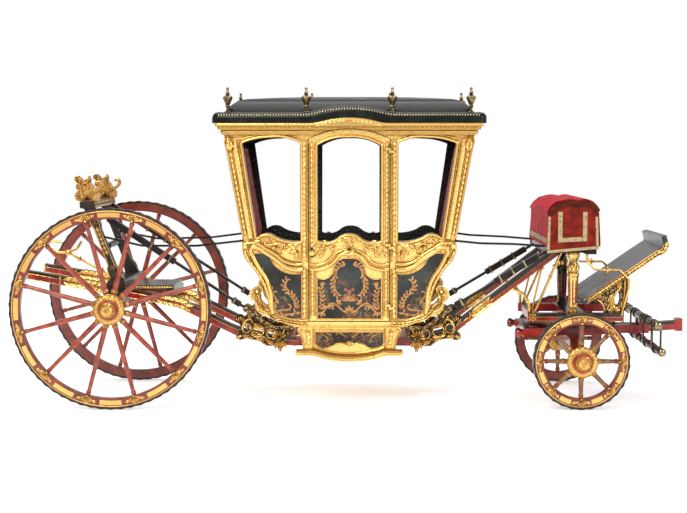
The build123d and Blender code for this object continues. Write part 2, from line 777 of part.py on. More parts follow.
def footboard_brackets(board):
    """Carved brackets between the side beams and the footboard."""
    outline = closed_face((238.5, upper_top_z), [
        (398.5, upper_top_z), (430, 860, 436.5, 1010), (436.5, 1140), (108.5, 915), (108.5, 880), (158.5, 900, 198.5, 870),
        (228.5, 830, 238.5, upper_top_z)])
    outline -= Pos(345, 900) * Ellipse(26, 62)
    right = slab(outline, -435, -375, front_axle_x) - board
    return both_sides(right)


def irons(*carriers):
    """Gilded stays of the seat, the perches and the footboard, and the scroll behind the rear transom."""
    low = upper_top_z - 15
    runs = [  # x from the front axle, y, z; radius; bend radius
        ([(-124.5, -412, seat_beam_z + 15), (-359.5, -412, low)], 11, 0),
        ([(-276.5, -360, 1195), (-376.5, -360, low)], 8, 0),
        ([(-566.5, -360, 995), (-440, -368, 925), (-393.5, -390, 850), (-393.5, -390, low)], 13, 60),
        ([(80, -470, seat_beam_z + 30), (84, -470, 1215), (150, -470, 1143), (360, -470, 1143),
          (437, -470, 1060), (437, -470, 985), (380, -443, low - 5)], 9, 40),
    ]
    pairs = []
    for points, radius, bend in runs:
        run = Pos(front_axle_x, 0, 0) * rod(points, radius, bend) - list(carriers)
        pairs.append(run.solids().sort_by(SortBy.VOLUME)[-1])
    return Compound(children=[*both_sides(Compound(children=pairs)).solids(), *rear_scroll(*carriers).solids()])


def rear_scroll(*carriers):
    """Iron stem that rises behind the rear transom and carries a scrolled end."""
    foot = (rear_axle_x - 60, 0, standard_foot[1] - 40)
    stem = rod([foot, (rear_axle_x - 504.5, 0, 1251)], 10, 0)
    hook = [(-386.5, 1350), (-426.5, 1285), (-504.5, 1251), (-600.5, 1255), (-692.5, 1300), (-662.5, 1352), (-560.5, 1345)]
    scroll = rod([(rear_axle_x + x, 0, z) for x, z in hook], 11, 24)
    whole = stem + scroll - list(carriers)
    return whole.solids().sort_by(SortBy.VOLUME)[-1]


# Fore carriage

axle_bed_top_z = 560
futchell_top_z = 632


def front_axle_bed():
    bed = block(front_axle_x - bed_half_length, front_axle_x + bed_half_length, -520, 520,
                front_wheel_radius + 27.5, axle_bed_top_z)
    return bed - Pos(front_axle_x, 0, 500) * Cylinder(kingpin_radius + kingpin_clearance, 200)


def futchells():
    """Two converging beams on the axle bed, tied by cross bars, with gilded knobs behind."""
    beams = []
    for s in (1, -1):
        inner = s * (pole_half_width + fit)
        face = make_face(Polyline((-441.5, s * 400), (-441.5, s * 330), (398.5, inner), (678.5, inner),
                                  (678.5, inner + s * 64), (418.5, inner + s * 64), close=True))
        beam = Pos(front_axle_x, 0, axle_bed_top_z) * extrude(face, amount=futchell_top_z - axle_bed_top_z)
        beam += block(splinter_bar_x - 34, splinter_bar_x + 34, inner, inner + s * 64, futchell_top_z, splinter_bar_z)
        beams.append(beam)
    tie = block(front_axle_x - 431.5, front_axle_x - 381.5, -340, 340, axle_bed_top_z, futchell_top_z)
    whole = beams[0] + beams[1] + tie
    for s in (1, -1):
        whole += turned([(24, -70), (40, -58), (44, -40), (30, -20), (26, 2)], (front_axle_x - 441.5, s * 365, axle_bed_top_z + 36), (1, 0, 0))
    return whole - splinter_bar()


def turntable():
    """Lower turntable plate on the futchells."""
    height = upper_low_z - 18 - 5 - futchell_top_z
    plate = Cylinder(400, height) - Cylinder(330, height + 2)
    return Pos(front_axle_x, 0, futchell_top_z + height / 2) * plate


def pole():
    """Stub of the draught pole between the futchells, with its iron end."""
    tip = overall_length / 2
    stick = bar([(front_axle_x + 108.5, 0, 566), (tip - 20, 0, 626)], 2 * pole_half_width, 76, 10)
    ferrule = block(tip - 60, tip, -52, 52, 572, 680)
    return stick + ferrule


def splinter_bar():
    """Turned bar across the pole, with caps."""
    half = 790
    rows = [(30, -half), (36, -half + 10), (36, -half + 50), (28, -half + 62), (33, -half + 180), (30, -130), (36, -110),
            (36, 110), (30, 130), (33, half - 180), (28, half - 62), (36, half - 50), (36, half - 10), (30, half)]
    return turned(rows, (splinter_bar_x, 0, splinter_bar_z), (0, 1, 0))


def swingletrees():
    """Short bars hung from the splinter bar in leather loops."""
    half, y, z = 460, -510, 505
    rows = [(24, -half), (34, -half + 12), (34, -half + 70), (26, -half + 84), (34, 0), (26, half - 84), (34, half - 70), (34, half - 12), (24, half)]
    wood = turned(rows, (splinter_bar_x, y, z), (0, 1, 0))
    drop = splinter_bar_z - z
    ring = SlotCenterToCenter(drop, 84, rotation=90) - SlotCenterToCenter(drop, 60, rotation=90)
    solids = [*wood.solids()]
    for dy in (-200, 200):
        loop = Pos(splinter_bar_x, y + dy, z + drop / 2) * Rot(90, 0, 0) * extrude(ring, amount=16, both=True)
        solids += (loop - wood - splinter_bar()).solids()
    return both_sides(Compound(children=solids))


# Assembly

def main():
    parts = {}
    perch_pair = perches()
    ring = cabin_ring()
    wall_right = side_wall()
    door_right = door()
    panel_right = door_panel()
    board = footboard()
    frame = seat_frame()
    carriage = upper_carriage()
    roof_shell = roof()
    rails = rear_rails()

    parts["floor_pan"] = ring & block(-2000, 2000, -900, 900, 0, floor_split_z)
    parts["rear_wall"] = ring & block(-2000, body_x, -900, 900, floor_split_z, 3000)
    parts["front_wall"] = ring & block(body_x, 2000, -900, 900, floor_split_z, 3000)
    parts["side_wall_right"] = wall_right
    parts["side_wall_left"] = mirror(wall_right, about=Plane.XZ)
    parts["door_right"] = door_right
    parts["door_left"] = mirror(door_right, about=Plane.XZ)
    parts["door_panel_right"] = panel_right
    parts["door_panel_left"] = mirror(panel_right, about=Plane.XZ)
    parts["quarter_panels"] = quarter_panels()
    parts["end_panels"] = end_panel_layer()
    parts["door_skirts"] = sill_skirts()
    parts["corner_scrolls"] = corner_scrolls(ring)
    parts["cornice"] = cornice()
    parts["roof"] = roof_shell
    parts["roof_finials"] = finials(roof_shell)
    parts["benches"] = benches()
    parts["seat_cushions"] = seat_cushions()
    parts["wall_squabs"] = wall_squabs()
    parts["body_loops"] = body_loops()
    braces = [*brace(1, frame).solids(), *brace(-1, rails).solids()]
    parts["braces"] = Compound(children=braces)

    for side, sign in (("right", -1), ("left", 1)):
        parts[f"perch_{side}"] = [s for s in perch_pair.solids() if s.center().Y * sign > 0][0]
    parts["perch_cross_bars"] = perch_cross_bars()
    parts["perch_brackets"] = Compound(children=[s for end in (1, -1) for s in perch_brackets(end).solids()])
    parts["rear_axle"] = axle(rear_axle_x, rear_wheel_radius, rear_rim_face_y, 60)
    bolster = rear_bed(perch_pair) + rear_transom(perch_pair)
    parts["rear_bolster"] = bolster
    parts["rear_standards"] = rear_standards()
    parts["rear_rails"] = rails
    parts["rear_crests"] = rear_crests()
    parts["rear_deck"] = rear_deck(perch_pair)
    parts["upper_carriage"] = carriage
    parts["front_columns"] = front_columns()
    parts["seat_frame"] = frame
    parts["hammercloth"] = hammercloth()
    parts["footboard"] = board
    brackets = footboard_brackets(board)
    parts["footboard_brackets"] = brackets
    parts["irons"] = irons(frame, carriage, brackets, perch_pair, bolster)

    parts["front_axle"] = axle(front_axle_x, front_wheel_radius, front_rim_face_y, 55)
    parts["front_axle_bed"] = front_axle_bed()
    parts["futchells"] = futchells()
    parts["turntable"] = turntable()
    parts["pole"] = pole()
    parts["splinter_bar"] = splinter_bar()
    parts["swingletrees"] = swingletrees()

    for end, args in {
        "rear": (rear_axle_x, rear_wheel_radius, rear_spokes, rear_rim_face_y),
        "front": (front_axle_x, front_wheel_radius, front_spokes, front_rim_face_y),
    }.items():
        for kind, shape in wheel_set(*args).items():
            parts[f"{end}_{kind}_right"] = shape
            parts[f"{end}_{kind}_left"] = mirror(shape, about=Plane.XZ)

    for name, shape in parts.items():
        export_step(shape, f"parts/{name}.step")
    return parts


if __name__ == "__main__":
    main()
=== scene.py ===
"""Looks of a gilded state coach: carving, mouldings, leather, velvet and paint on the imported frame.

Metres, +X forward, +Y to the coach's left, +Z up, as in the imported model. A surface is worked out with numpy
as a grid of points, and every finish is a node material on Object coordinates.
"""

import json
import logging
from dataclasses import dataclass, field
from enum import Enum
from typing import Any, Iterable, Optional, Sequence

import bmesh
import bpy
import numpy as np
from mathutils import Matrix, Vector
from mathutils.bvhtree import BVHTree

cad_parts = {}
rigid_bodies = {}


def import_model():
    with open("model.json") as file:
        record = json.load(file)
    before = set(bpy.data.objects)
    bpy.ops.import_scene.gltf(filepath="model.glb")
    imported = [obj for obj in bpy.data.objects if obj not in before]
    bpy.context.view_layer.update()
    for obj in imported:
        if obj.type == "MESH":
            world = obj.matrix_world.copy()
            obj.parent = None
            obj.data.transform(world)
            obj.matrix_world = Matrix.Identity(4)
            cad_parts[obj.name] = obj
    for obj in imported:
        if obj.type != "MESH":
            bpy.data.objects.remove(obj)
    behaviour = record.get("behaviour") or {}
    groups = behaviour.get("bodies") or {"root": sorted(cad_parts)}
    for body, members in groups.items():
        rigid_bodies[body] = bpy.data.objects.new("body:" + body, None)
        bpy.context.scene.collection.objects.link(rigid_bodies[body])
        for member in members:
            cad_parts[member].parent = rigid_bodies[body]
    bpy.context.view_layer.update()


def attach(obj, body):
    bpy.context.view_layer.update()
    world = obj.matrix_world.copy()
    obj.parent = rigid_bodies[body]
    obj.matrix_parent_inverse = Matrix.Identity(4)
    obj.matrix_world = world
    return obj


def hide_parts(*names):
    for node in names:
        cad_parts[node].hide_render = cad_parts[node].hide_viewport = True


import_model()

log = logging.getLogger("coach")
Array = np.ndarray


class Side(Enum):
    """Side of the coach: the value is the sign of Y."""

    RIGHT = -1
    LEFT = 1


class End(Enum):
    """End of the coach: the value is the sign of X."""

    REAR = -1
    FRONT = 1


BOTH_SIDES = (Side.RIGHT, Side.LEFT)
BOTH_ENDS = (End.REAR, End.FRONT)
BOTH_WAYS = (1.0, -1.0)

MM = 1000.0  # millimetres in a metre
X, Y, Z = np.eye(3)
BODY_X = -0.045  # the cabin's middle
TILT = np.arctan((0.720 - 0.655) / (2.280 - 1.400))  # lean of the cabin's side walls
MERGE = 0.00005  # distance under which points are one
SHARP = 40.0  # edges that turn by more degrees stay sharp
STROKE = 1.1  # rise of a stroke of paint
BACK = 1.0  # depth of a carved form's back below the surface


# Finishes

def linear(code: str) -> tuple[float, float, float, float]:
    """Turn an sRGB hex colour into linear RGBA.

    Args:
        code: six hex digits, with or without a leading hash.

    Returns:
        Linear red, green, blue and an alpha of 1.
    """
    code = code.lstrip("#")
    srgb = np.array([int(code[i:i + 2], 16) for i in (0, 2, 4)]) / 255.0
    lin = np.where(srgb <= 0.04045, srgb / 12.92, ((srgb + 0.055) / 1.055) ** 2.4)
    return (*map(float, lin), 1.0)


def add(tree: bpy.types.NodeTree, kind: str, inputs: Optional[dict[Any, Any]] = None, out: Any = 0,
        stops: Sequence[tuple[float, str]] = (), **settings: Any) -> Any:
    """Add one shader node with its settings and links.

    Args:
        tree: node tree that takes it.
        kind: node type name, without its ShaderNode start.
        inputs: per socket name or number, a socket to link, a hex colour or a plain value.
        out: output socket to return, by name or number.
        stops: places and hex colours of a colour ramp.
        settings: attributes of the node.

    Returns:
        The chosen output socket.
    """
    node = tree.nodes.new("ShaderNode" + kind)
    for key, value in settings.items():
        setattr(node, key, value)
    for key, value in (inputs or {}).items():
        if isinstance(value, bpy.types.NodeSocket):
            tree.links.new(value, node.inputs[key])
        else:
            node.inputs[key].default_value = linear(value) if isinstance(value, str) else value
    for number, (place, code) in enumerate(stops):
        elements = node.color_ramp.elements
        element = elements[number] if number < 2 else elements.new(place)
        element.position, element.color = place, linear(code)
    return node.outputs[out]


@dataclass(frozen=True)
class Finish:
    """A finish: the record's material slot for it, if any, and its shader's plain values.

    Subclasses draw the colour and relief.
    """

    name: str
    slot: str = ""
    roughness: float = 0.5
    metallic: float = 0.0
    coat: float = 0.0
    sheen: float = 0.0
    specular: float = 0.5

    def paint(self, tree: bpy.types.NodeTree, where: Any) -> tuple[Any, ...]:
        """Draw the finish.

        Args:
            tree: node tree.
            where: Object coordinates.

        Returns:
            Sockets of colour, roughness, normal and, for some, metal; None leaves the shader's own value.
        """
        raise NotImplementedError

    def material(self) -> bpy.types.Material:
        """Build the material, or return it if it is built already."""
        found = bpy.data.materials.get(self.name)
        if found:
            return found
        made = bpy.data.materials.new(self.name)
        made.use_nodes = True
        tree = made.node_tree
        shader = tree.nodes["Principled BSDF"]
        where = add(tree, "TexCoord", out="Object")
        for key, value in (("Roughness", self.roughness), ("Metallic", self.metallic),
                           ("Coat Weight", self.coat), ("Coat Roughness", 0.15),
                           ("Sheen Weight", self.sheen)):
            shader.inputs[key].default_value = value
        if not self.metallic:
            shader.inputs["Specular IOR Level"].default_value = self.specular
        for key, socket in zip(("Base Color", "Roughness", "Normal", "Metallic"), self.paint(tree, where)):
            if socket is not None:
                tree.links.new(socket, shader.inputs[key])
        return made


@dataclass(frozen=True)
class Gilding(Finish):
    """Gold leaf over a red-brown ground on carved wood, bright on the tops and brown in the cuts by painted
    shade.

    The eye gets the sparkle of small carved facets; the warm brown between them is painted shade from an
    occlusion node and from the cells' cuts.
    """

    # leaf is the colour of lit open faces; shade and ground are painted shade for half-hidden and deep cuts,
    # ground being the red-brown bole
    leaf: str = "EEC876"
    shade: str = "C9964A"
    ground: str = "65390F"
    carving_mm: float = 15.0
    depth_mm: float = 1.8
    # how strongly the chased cells darken their sunk cuts: painted shade
    cut_shade: float = 0.30

    def paint(self, tree: bpy.types.NodeTree, where: Any) -> tuple[Any, ...]:
        """Chased relief from bent cells; leaf colour on open faces, and painted shade down to the ground
        colour in the cuts.
        """
        swirl = add(tree, "TexNoise", {"Vector": where, "Scale": MM / (2.4 * self.carving_mm), "Detail": 1.0},
                    "Color")
        bent = add(tree, "Mix", {0: 0.03, 4: where, 5: swirl}, 1, data_type="VECTOR")
        cells = add(tree, "TexVoronoi", {"Vector": bent, "Scale": MM / self.carving_mm, "Smoothness": 0.6},
                    "Distance", feature="SMOOTH_F1")
        worn = add(tree, "TexNoise", {"Vector": where, "Scale": MM / 120.0, "Detail": 5.0, "Roughness": 0.6})
        # painted shade: ambient occlusion darkens corners, recesses and the gaps between parts
        open_sky = add(tree, "AmbientOcclusion", {"Distance": 0.03}, "AO", samples=6)
        # painted shade in the bump's sunk cuts, which cast no real shade
        cut = add(tree, "Math", {0: cells, 1: self.cut_shade * 1.1}, operation="MULTIPLY")
        lit = add(tree, "Math", {0: open_sky, 1: cut}, operation="SUBTRACT")
        # real wear from the large noise, added to the painted shade
        rub = add(tree, "Math", {0: worn, 1: 0.35, 2: lit}, operation="MULTIPLY_ADD")
        colour = add(tree, "ValToRGB", {"Fac": rub}, "Color",
                     stops=[(0.34, self.ground), (0.74, self.shade), (1.0, self.leaf)])
        rough = add(tree, "ValToRGB", {"Fac": rub}, "Color", stops=[(0.4, "B8B8B8"), (1.0, "606060")])
        normal = add(tree, "Bump", {"Height": cells, "Strength": 1.0, "Distance": -self.depth_mm / MM},
                     "Normal")
        return colour, rough, normal


@dataclass(frozen=True)
class Lacquer(Finish):
    """Oil paint under varnish on wood, rubbed and crackled: deep colour with a soft, uneven gloss."""

    light: str = "9C2E1E"
    dark: str = "5E1711"
    worn: str = "7A4630"
    cloud_mm: float = 70.0

    def paint(self, tree: bpy.types.NodeTree, where: Any) -> tuple[Any, ...]:
        """Cloudy paint with rubbed spots and a shallow grain."""
        cloud = add(tree, "TexNoise", {"Vector": where, "Scale": MM / self.cloud_mm, "Detail": 5.0})
        grain = add(tree, "TexNoise", {"Vector": where, "Scale": MM / 6.0, "Detail": 3.0})
        spots = add(tree, "TexNoise", {"Vector": where, "Scale": MM / 24.0, "Detail": 6.0, "Roughness": 0.7})
        paint = add(tree, "ValToRGB", {"Fac": cloud}, "Color", stops=[(0.3, self.dark), (0.66, self.light)])
        rub = add(tree, "ValToRGB", {"Fac": spots}, "Color", stops=[(0.60, "000000"), (0.74, "B0B0B0")])
        colour = add(tree, "Mix", {0: rub, 6: paint, 7: self.worn}, 2, data_type="RGBA")
        rough = add(tree, "ValToRGB", {"Fac": grain}, "Color", stops=[(0.2, "787878"), (0.8, "A0A0A0")])
        return colour, rough, add(tree, "Bump", {"Height": spots, "Strength": 0.6, "Distance": 0.0005},
                                  "Normal")


@dataclass(frozen=True)
class WallGilding(Gilding):
    """Gilding outside a leaning wall, and a plain dark colour on its inner face and in its window reveals."""

    silk: str = "12150F"
    slope: float = 0.0738
    foot: float = 0.5515

    def paint(self, tree: bpy.types.NodeTree, where: Any) -> tuple[Any, ...]:
        """Gilding where |y| - slope z > foot, and the dark colour inside that plane."""
        colour, rough, normal = super().paint(tree, where)
        parts = tree.nodes.new("ShaderNodeSeparateXYZ")
        tree.links.new(where, parts.inputs[0])
        wide = add(tree, "Math", {0: parts.outputs[1]}, operation="ABSOLUTE")
        lean = add(tree, "Math", {0: parts.outputs[2], 1: -self.slope, 2: wide}, operation="MULTIPLY_ADD")
        outside = add(tree, "Math", {0: lean, 1: self.foot - 0.006}, operation="GREATER_THAN")
        metal = add(tree, "Math", {0: outside, 1: self.metallic}, operation="MULTIPLY")
        # dark colour on the inner side of the plane; on the columns it is painted shade
        colour = add(tree, "Mix", {0: outside, 6: self.silk, 7: colour}, 2, data_type="RGBA")
        return colour, rough, normal, metal


@dataclass(frozen=True)
class PerchPaint(Lacquer):
    """Red sides and a black top on the perches."""

    top: str = "0E0C0A"

    def paint(self, tree: bpy.types.NodeTree, where: Any) -> tuple[Any, ...]:
        """Lacquer, turned black where the surface faces up."""
        colour, rough, normal = super().paint(tree, where)
        facing = add(tree, "SeparateXYZ", {0: add(tree, "NewGeometry", out="Normal")}, 2)
        up = add(tree, "Math", {0: facing, 1: 0.5}, operation="GREATER_THAN")
        return add(tree, "Mix", {0: up, 6: colour, 7: self.top}, 2, data_type="RGBA"), rough, normal


@dataclass(frozen=True)
class PaintedPanel(Finish):
    """Dark panel under varnish, with loose brushwork of flowers and leaves in ochre, rose and cream."""

    ground: str = "14140F"
    cool: str = "343A38"
    blooms_mm: float = 26.0
    centre_height: float = 0.98

    def paint(self, tree: bpy.types.NodeTree, where: Any) -> tuple[Any, ...]:
        """Brush marks gathered low on the panel, thinning upwards to the plain dark ground."""
        haze = add(tree, "TexNoise", {"Vector": where, "Scale": MM / 260.0, "Detail": 4.0})
        base = add(tree, "ValToRGB", {"Fac": haze}, "Color", stops=[(0.35, self.ground), (0.7, self.cool)])
        blot = add(tree, "TexVoronoi", {"Vector": where, "Scale": MM / self.blooms_mm}, "Color")
        tone = add(tree, "SeparateColor", {"Color": blot})
        bloom = add(tree, "ValToRGB", {"Fac": tone}, "Color",
                    stops=[(0.0, "5E3216"), (0.95, "C9A468"), (0.25, "A8642A"), (0.5, "7E3424"),
                           (0.68, "B98442"), (0.85, "56613F")])
        petals = add(tree, "TexNoise", {"Vector": where, "Scale": MM / 26.0, "Detail": 5.0, "Roughness": 0.6,
                                        "Distortion": 1.4})
        gather = add(tree, "TexNoise", {"Vector": where, "Scale": MM / 110.0, "Detail": 2.0})
        height = add(tree, "SeparateXYZ", {"Vector": where}, 2)
        low = add(tree, "MapRange",
                  {0: height, 1: self.centre_height + 0.25, 2: self.centre_height - 0.22, 3: 0.0, 4: 0.13})
        mark = add(tree, "Math", {0: petals, 1: 0.6, 2: low}, operation="MULTIPLY_ADD")
        mark = add(tree, "Math", {0: gather, 1: 0.4, 2: mark}, operation="MULTIPLY_ADD")
        mask = add(tree, "ValToRGB", {"Fac": mark}, "Color", stops=[(0.62, "000000"), (0.70, "B4B4B4")])
        colour = add(tree, "Mix", {0: mask, 6: base, 7: bloom}, 2, data_type="RGBA")
        return colour, None, add(tree, "Bump", {"Height": mask, "Strength": 0.4, "Distance": 0.0003},
                                 "Normal")


@dataclass(frozen=True)
class Leather(Finish):
    """Oiled black leather: a pebbled grain with dull creases and a soft shine on the high spots."""

    light: str = "1E211E"
    dark: str = "0A0B0A"
    pebble_mm: float = 7.0

    def paint(self, tree: bpy.types.NodeTree, where: Any) -> tuple[Any, ...]:
        """Pebbles from cells, and long creases from noise."""
        pebbles = add(tree, "TexVoronoi", {"Vector": where, "Scale": MM / self.pebble_mm}, "Distance")
        creases = add(tree, "TexNoise",
                      {"Vector": where, "Scale": MM / 130.0, "Detail": 6.0, "Distortion": 0.6})
        colour = add(tree, "ValToRGB", {"Fac": creases}, "Color",
                     stops=[(0.35, self.dark), (0.68, self.light)])
        rough = add(tree, "ValToRGB", {"Fac": creases}, "Color", stops=[(0.3, "6A6A6A"), (0.7, "A0A0A0")])
        height = add(tree, "Math", {0: pebbles, 1: 0.35, 2: creases}, operation="MULTIPLY_ADD")
        return colour, rough, add(tree, "Bump", {"Height": height, "Strength": 0.5, "Distance": 0.0015},
                                  "Normal")


@dataclass(frozen=True)
class Velvet(Finish):
    """Silk velvet: short pile that glows at grazing angles, with rubbed and combed patches."""

    light: str = "B3141F"
    dark: str = "6B0A12"

    def paint(self, tree: bpy.types.NodeTree, where: Any) -> tuple[Any, ...]:
        """Combed patches over a fine pile."""
        comb = add(tree, "TexNoise", {"Vector": where, "Scale": MM / 90.0, "Detail": 4.0, "Distortion": 0.8})
        pile = add(tree, "TexNoise", {"Vector": where, "Scale": MM / 3.0, "Detail": 2.0})
        colour = add(tree, "ValToRGB", {"Fac": comb}, "Color", stops=[(0.32, self.dark), (0.66, self.light)])
        height = add(tree, "Math", {0: pile, 1: 0.5, 2: comb}, operation="MULTIPLY_ADD")
        return colour, None, add(tree, "Bump", {"Height": height, "Strength": 0.6, "Distance": 0.0012},
                                 "Normal")


@dataclass(frozen=True)
class Galloon(Finish):
    """Woven metal braid: zigzag ribs of dull gold thread over a green silk ground.

    The ribs are drawn 6 mm apart, coarser than real thread, so that they show in the picture.
    """

    thread: str = "A8956A"
    ground: str = "5A573C"
    rib_mm: float = 6.0

    def paint(self, tree: bpy.types.NodeTree, where: Any) -> tuple[Any, ...]:
        """Diagonal ribs crossed by a larger check."""
        ribs = add(tree, "TexWave",
                   {"Vector": where, "Scale": 314.0 / self.rib_mm, "Distortion": 1.0, "Detail": 1.0}, "Fac",
                   bands_direction="DIAGONAL")
        check = add(tree, "TexVoronoi", {"Vector": where, "Scale": MM / 28.0}, "Distance",
                    distance="MANHATTAN")
        both = add(tree, "Math", {0: ribs, 1: 0.5, 2: check}, operation="MULTIPLY_ADD")
        colour = add(tree, "ValToRGB", {"Fac": both}, "Color", stops=[(0.3, self.ground), (0.9, self.thread)])
        return colour, None, add(tree, "Bump", {"Height": both, "Strength": 1.0, "Distance": 0.001}, "Normal")


@dataclass(frozen=True)
class Iron(Finish):
    """Forged iron, blackened with oil and dusted: dull, faintly brown, with soft hammer marks."""

    light: str = "3A352F"
    dark: str = "15120F"

    def paint(self, tree: bpy.types.NodeTree, where: Any) -> tuple[Any, ...]:
        """Hammer marks and rust-brown dust."""
        dust = add(tree, "TexNoise", {"Vector": where, "Scale": MM / 40.0, "Detail": 6.0, "Roughness": 0.65})
        marks = add(tree, "TexNoise", {"Vector": where, "Scale": MM / 14.0, "Detail": 2.0})
        colour = add(tree, "ValToRGB", {"Fac": dust}, "Color", stops=[(0.35, self.dark), (0.7, self.light)])
        rough = add(tree, "ValToRGB", {"Fac": dust}, "Color", stops=[(0.3, "707070"), (0.7, "C0C0C0")])
        return colour, rough, add(tree, "Bump", {"Height": marks, "Strength": 0.6, "Distance": 0.0008},
                                  "Normal")


GILT = Gilding("gilded_carved_limewood", "gilt_wood", roughness=0.4, metallic=0.75)
GILT_PLAIN = Gilding("burnished_gilt_moulding", "gilt_wood", roughness=0.36, metallic=0.75, leaf="E6BC6C",
                     shade="C8923F", carving_mm=22.0, depth_mm=1.0, cut_shade=0.22)
GILT_PALE = Gilding("burnished_gilt_plate", "gilt_wood", roughness=0.36, metallic=0.6, leaf="E2B466",
                    shade="C08C44", carving_mm=30.0, depth_mm=0.6, cut_shade=0.18)
GILT_WHEEL = Gilding("dulled_wheel_gilding", "gilt_wood", roughness=0.42, metallic=0.7, leaf="DCAE60",
                     shade="AC7A3A", ground="5A2E16", cut_shade=0.40)
GILT_DARK = Gilding("smoked_gilt_carving", roughness=0.45, metallic=0.65, leaf="D2AE70", shade="7C5E3A",
                    ground="1C1610", carving_mm=20.0, depth_mm=2.5, cut_shade=0.95)
GILT_SMOKED = Gilding("tarnished_gilt_rim", "gilt_wood", roughness=0.45, metallic=0.65, leaf="B8965E",
                      shade="5E4828", ground="15110B", carving_mm=18.0, depth_mm=1.5, cut_shade=0.8)
GILT_WALL = WallGilding("gilded_walls_silk_lined", roughness=0.4, metallic=0.75)
GILT_IRON = Gilding("gilt_wrought_iron", roughness=0.38, metallic=0.8, leaf="E6BA62", shade="B98A3C",
                    carving_mm=24.0, depth_mm=0.7, cut_shade=0.35)
# painted shade: the inner half of each column, turned to the coach's middle, is dark brown instead of gilt
GILT_COLUMN = WallGilding("gilded_column_faces", roughness=0.4, metallic=0.75, silk="20140C", slope=0.0,
                          foot=0.352)
OLD_BRASS = Gilding("cast_brass_weathered", roughness=0.42, metallic=0.85, leaf="8E7C56", shade="564A32",
                    ground="221C14", carving_mm=26.0, depth_mm=0.5, cut_shade=0.5)
BRASS = Gilding("cast_brass_aged", "brass", roughness=0.36, metallic=0.9, leaf="A8946A", shade="6E6040",
                ground="2C2618", carving_mm=26.0, depth_mm=0.5, cut_shade=0.4)
NAILS = Gilding("brass_nail_heads", "brass", roughness=0.35, metallic=0.9, leaf="C8B88C", shade="8E7E58",
                ground="3A3222", carving_mm=40.0, depth_mm=0.1, cut_shade=0.1)
RED_WOOD = Lacquer("red_lacquered_beech", "red_lacquer", roughness=0.5, coat=0.2)
SPOKE_WOOD = Lacquer("spoke_red_lacquer", "red_lacquer", roughness=0.5, coat=0.2, light="A34A30",
                     dark="6E2014", worn="8A5236")
DARK_WOOD = Lacquer("stained_dark_oak", "dark_wood", roughness=0.55, coat=0.1, light="2A1D14", dark="100B07",
                    worn="4A3524")
PANEL = PaintedPanel("painted_black_panel", roughness=0.4, coat=0.12, specular=0.25)
ROOF_LEATHER = Leather("waxed_roof_leather", roughness=0.42, light="141A14", dark="060906", pebble_mm=9.0,
                       specular=0.22)
STRAP_LEATHER = Leather("harness_leather", "black_leather", roughness=0.5, light="221A13", dark="0B0806",
                        pebble_mm=4.0, specular=0.3)
GREY_LEATHER = Leather("worn_grey_leather", roughness=0.6, light="5A575C", dark="2A282A", specular=0.3)
RED_VELVET = Velvet("red_silk_velvet", "red_velvet", roughness=0.8, sheen=0.05, light="BE1A2A",
                    dark="860E1C", specular=0.1)
# painted shade: a darker, browner copy of the red velvet for the seat's sides, which face sideways
SHADED_FLANK_VELVET = Velvet("faded_flank_velvet", "red_velvet", roughness=0.85, sheen=0.04, light="82241C",
                      dark="581510", specular=0.1)
BRUSHWORK = Lacquer("ochre_brushwork", "gilt_wood", roughness=0.5, coat=0.1, light="C08A42", dark="805026",
                    worn="D8B070", cloud_mm=22.0)
ROSE_BRUSHWORK = Lacquer("rose_brushwork", "lining_velvet", roughness=0.5, coat=0.1, light="A8603C",
                         dark="74341F", worn="D8B48C", cloud_mm=14.0)
PERCH_PAINT = PerchPaint("perch_lacquer", roughness=0.5, coat=0.15, light="A82418", dark="6A120C")
ROSE_VELVET = Velvet("rose_lining_velvet", "lining_velvet", roughness=0.8, sheen=0.1, light="D2706E",
                     dark="8E3438", specular=0.1)
BROWN_VELVET = Velvet("brown_arc_velvet", "red_velvet", roughness=0.8, sheen=0.1, light="5A1E10",
                      dark="34120A", specular=0.1)
BRAID = Galloon("woven_gold_braid", roughness=0.55, metallic=0.2)
IRON = Iron("blackened_wrought_iron", "wrought_iron", roughness=0.6, metallic=0.3)


# Meshes from grids

@dataclass
class Clay:
    """Points and faces gathered from many grids, made into one object at the end."""

    points: list[Array] = field(default_factory=list)
    faces: list[list[int]] = field(default_factory=list)
    count: int = 0

    def put(self, grid: Array, caps: bool = True) -> None:
        """Add a grid of points as quads, its last column joined to its first.

        Args:
            grid: points, shape (rows, columns, 3).
            caps: close the first and last rows with one face each.
        """
        rows, cols = grid.shape[:2]
        index = np.arange(rows * cols).reshape(rows, cols) + self.count
        right = np.roll(index, -1, axis=1)
        quads = np.stack([index[:-1], right[:-1], right[1:], index[1:]], axis=-1).reshape(-1, 4)
        self.points.append(grid.reshape(-1, 3))
        self.faces.extend(quads.tolist())
        if caps:
            self.faces.append(index[0][::-1].tolist())
            self.faces.append(index[-1].tolist())
        self.count += rows * cols

    def object(self, name: str, finish: Finish, body: str = "carriage") -> bpy.types.Object:
        """Make the object, at the origin, and ride it on its body.

        Args:
            name: the piece's name.
            finish: its finish.
            body: the body that carries it.

        Returns:
            The new object.
        """
        mesh = bpy.data.meshes.new(name)
        mesh.from_pydata(np.concatenate(self.points).tolist(), [], self.faces)
        shape = bmesh.new()
        shape.from_mesh(mesh)
        bmesh.ops.remove_doubles(shape, verts=shape.verts, dist=MERGE)
        bmesh.ops.dissolve_degenerate(shape, edges=shape.edges, dist=1e-6)
        bmesh.ops.recalc_face_normals(shape, faces=shape.faces)
        shape.to_mesh(mesh)
        shape.free()
        made = bpy.data.objects.new(name, mesh)
        bpy.context.scene.collection.objects.link(made)
        mesh.materials.append(finish.material())
        mesh.shade_smooth()
        mesh.set_sharp_from_angle(angle=np.radians(SHARP))
        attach(made, body)
        log.info("%s: %d faces on %s", name, len(mesh.polygons), body)
        return made


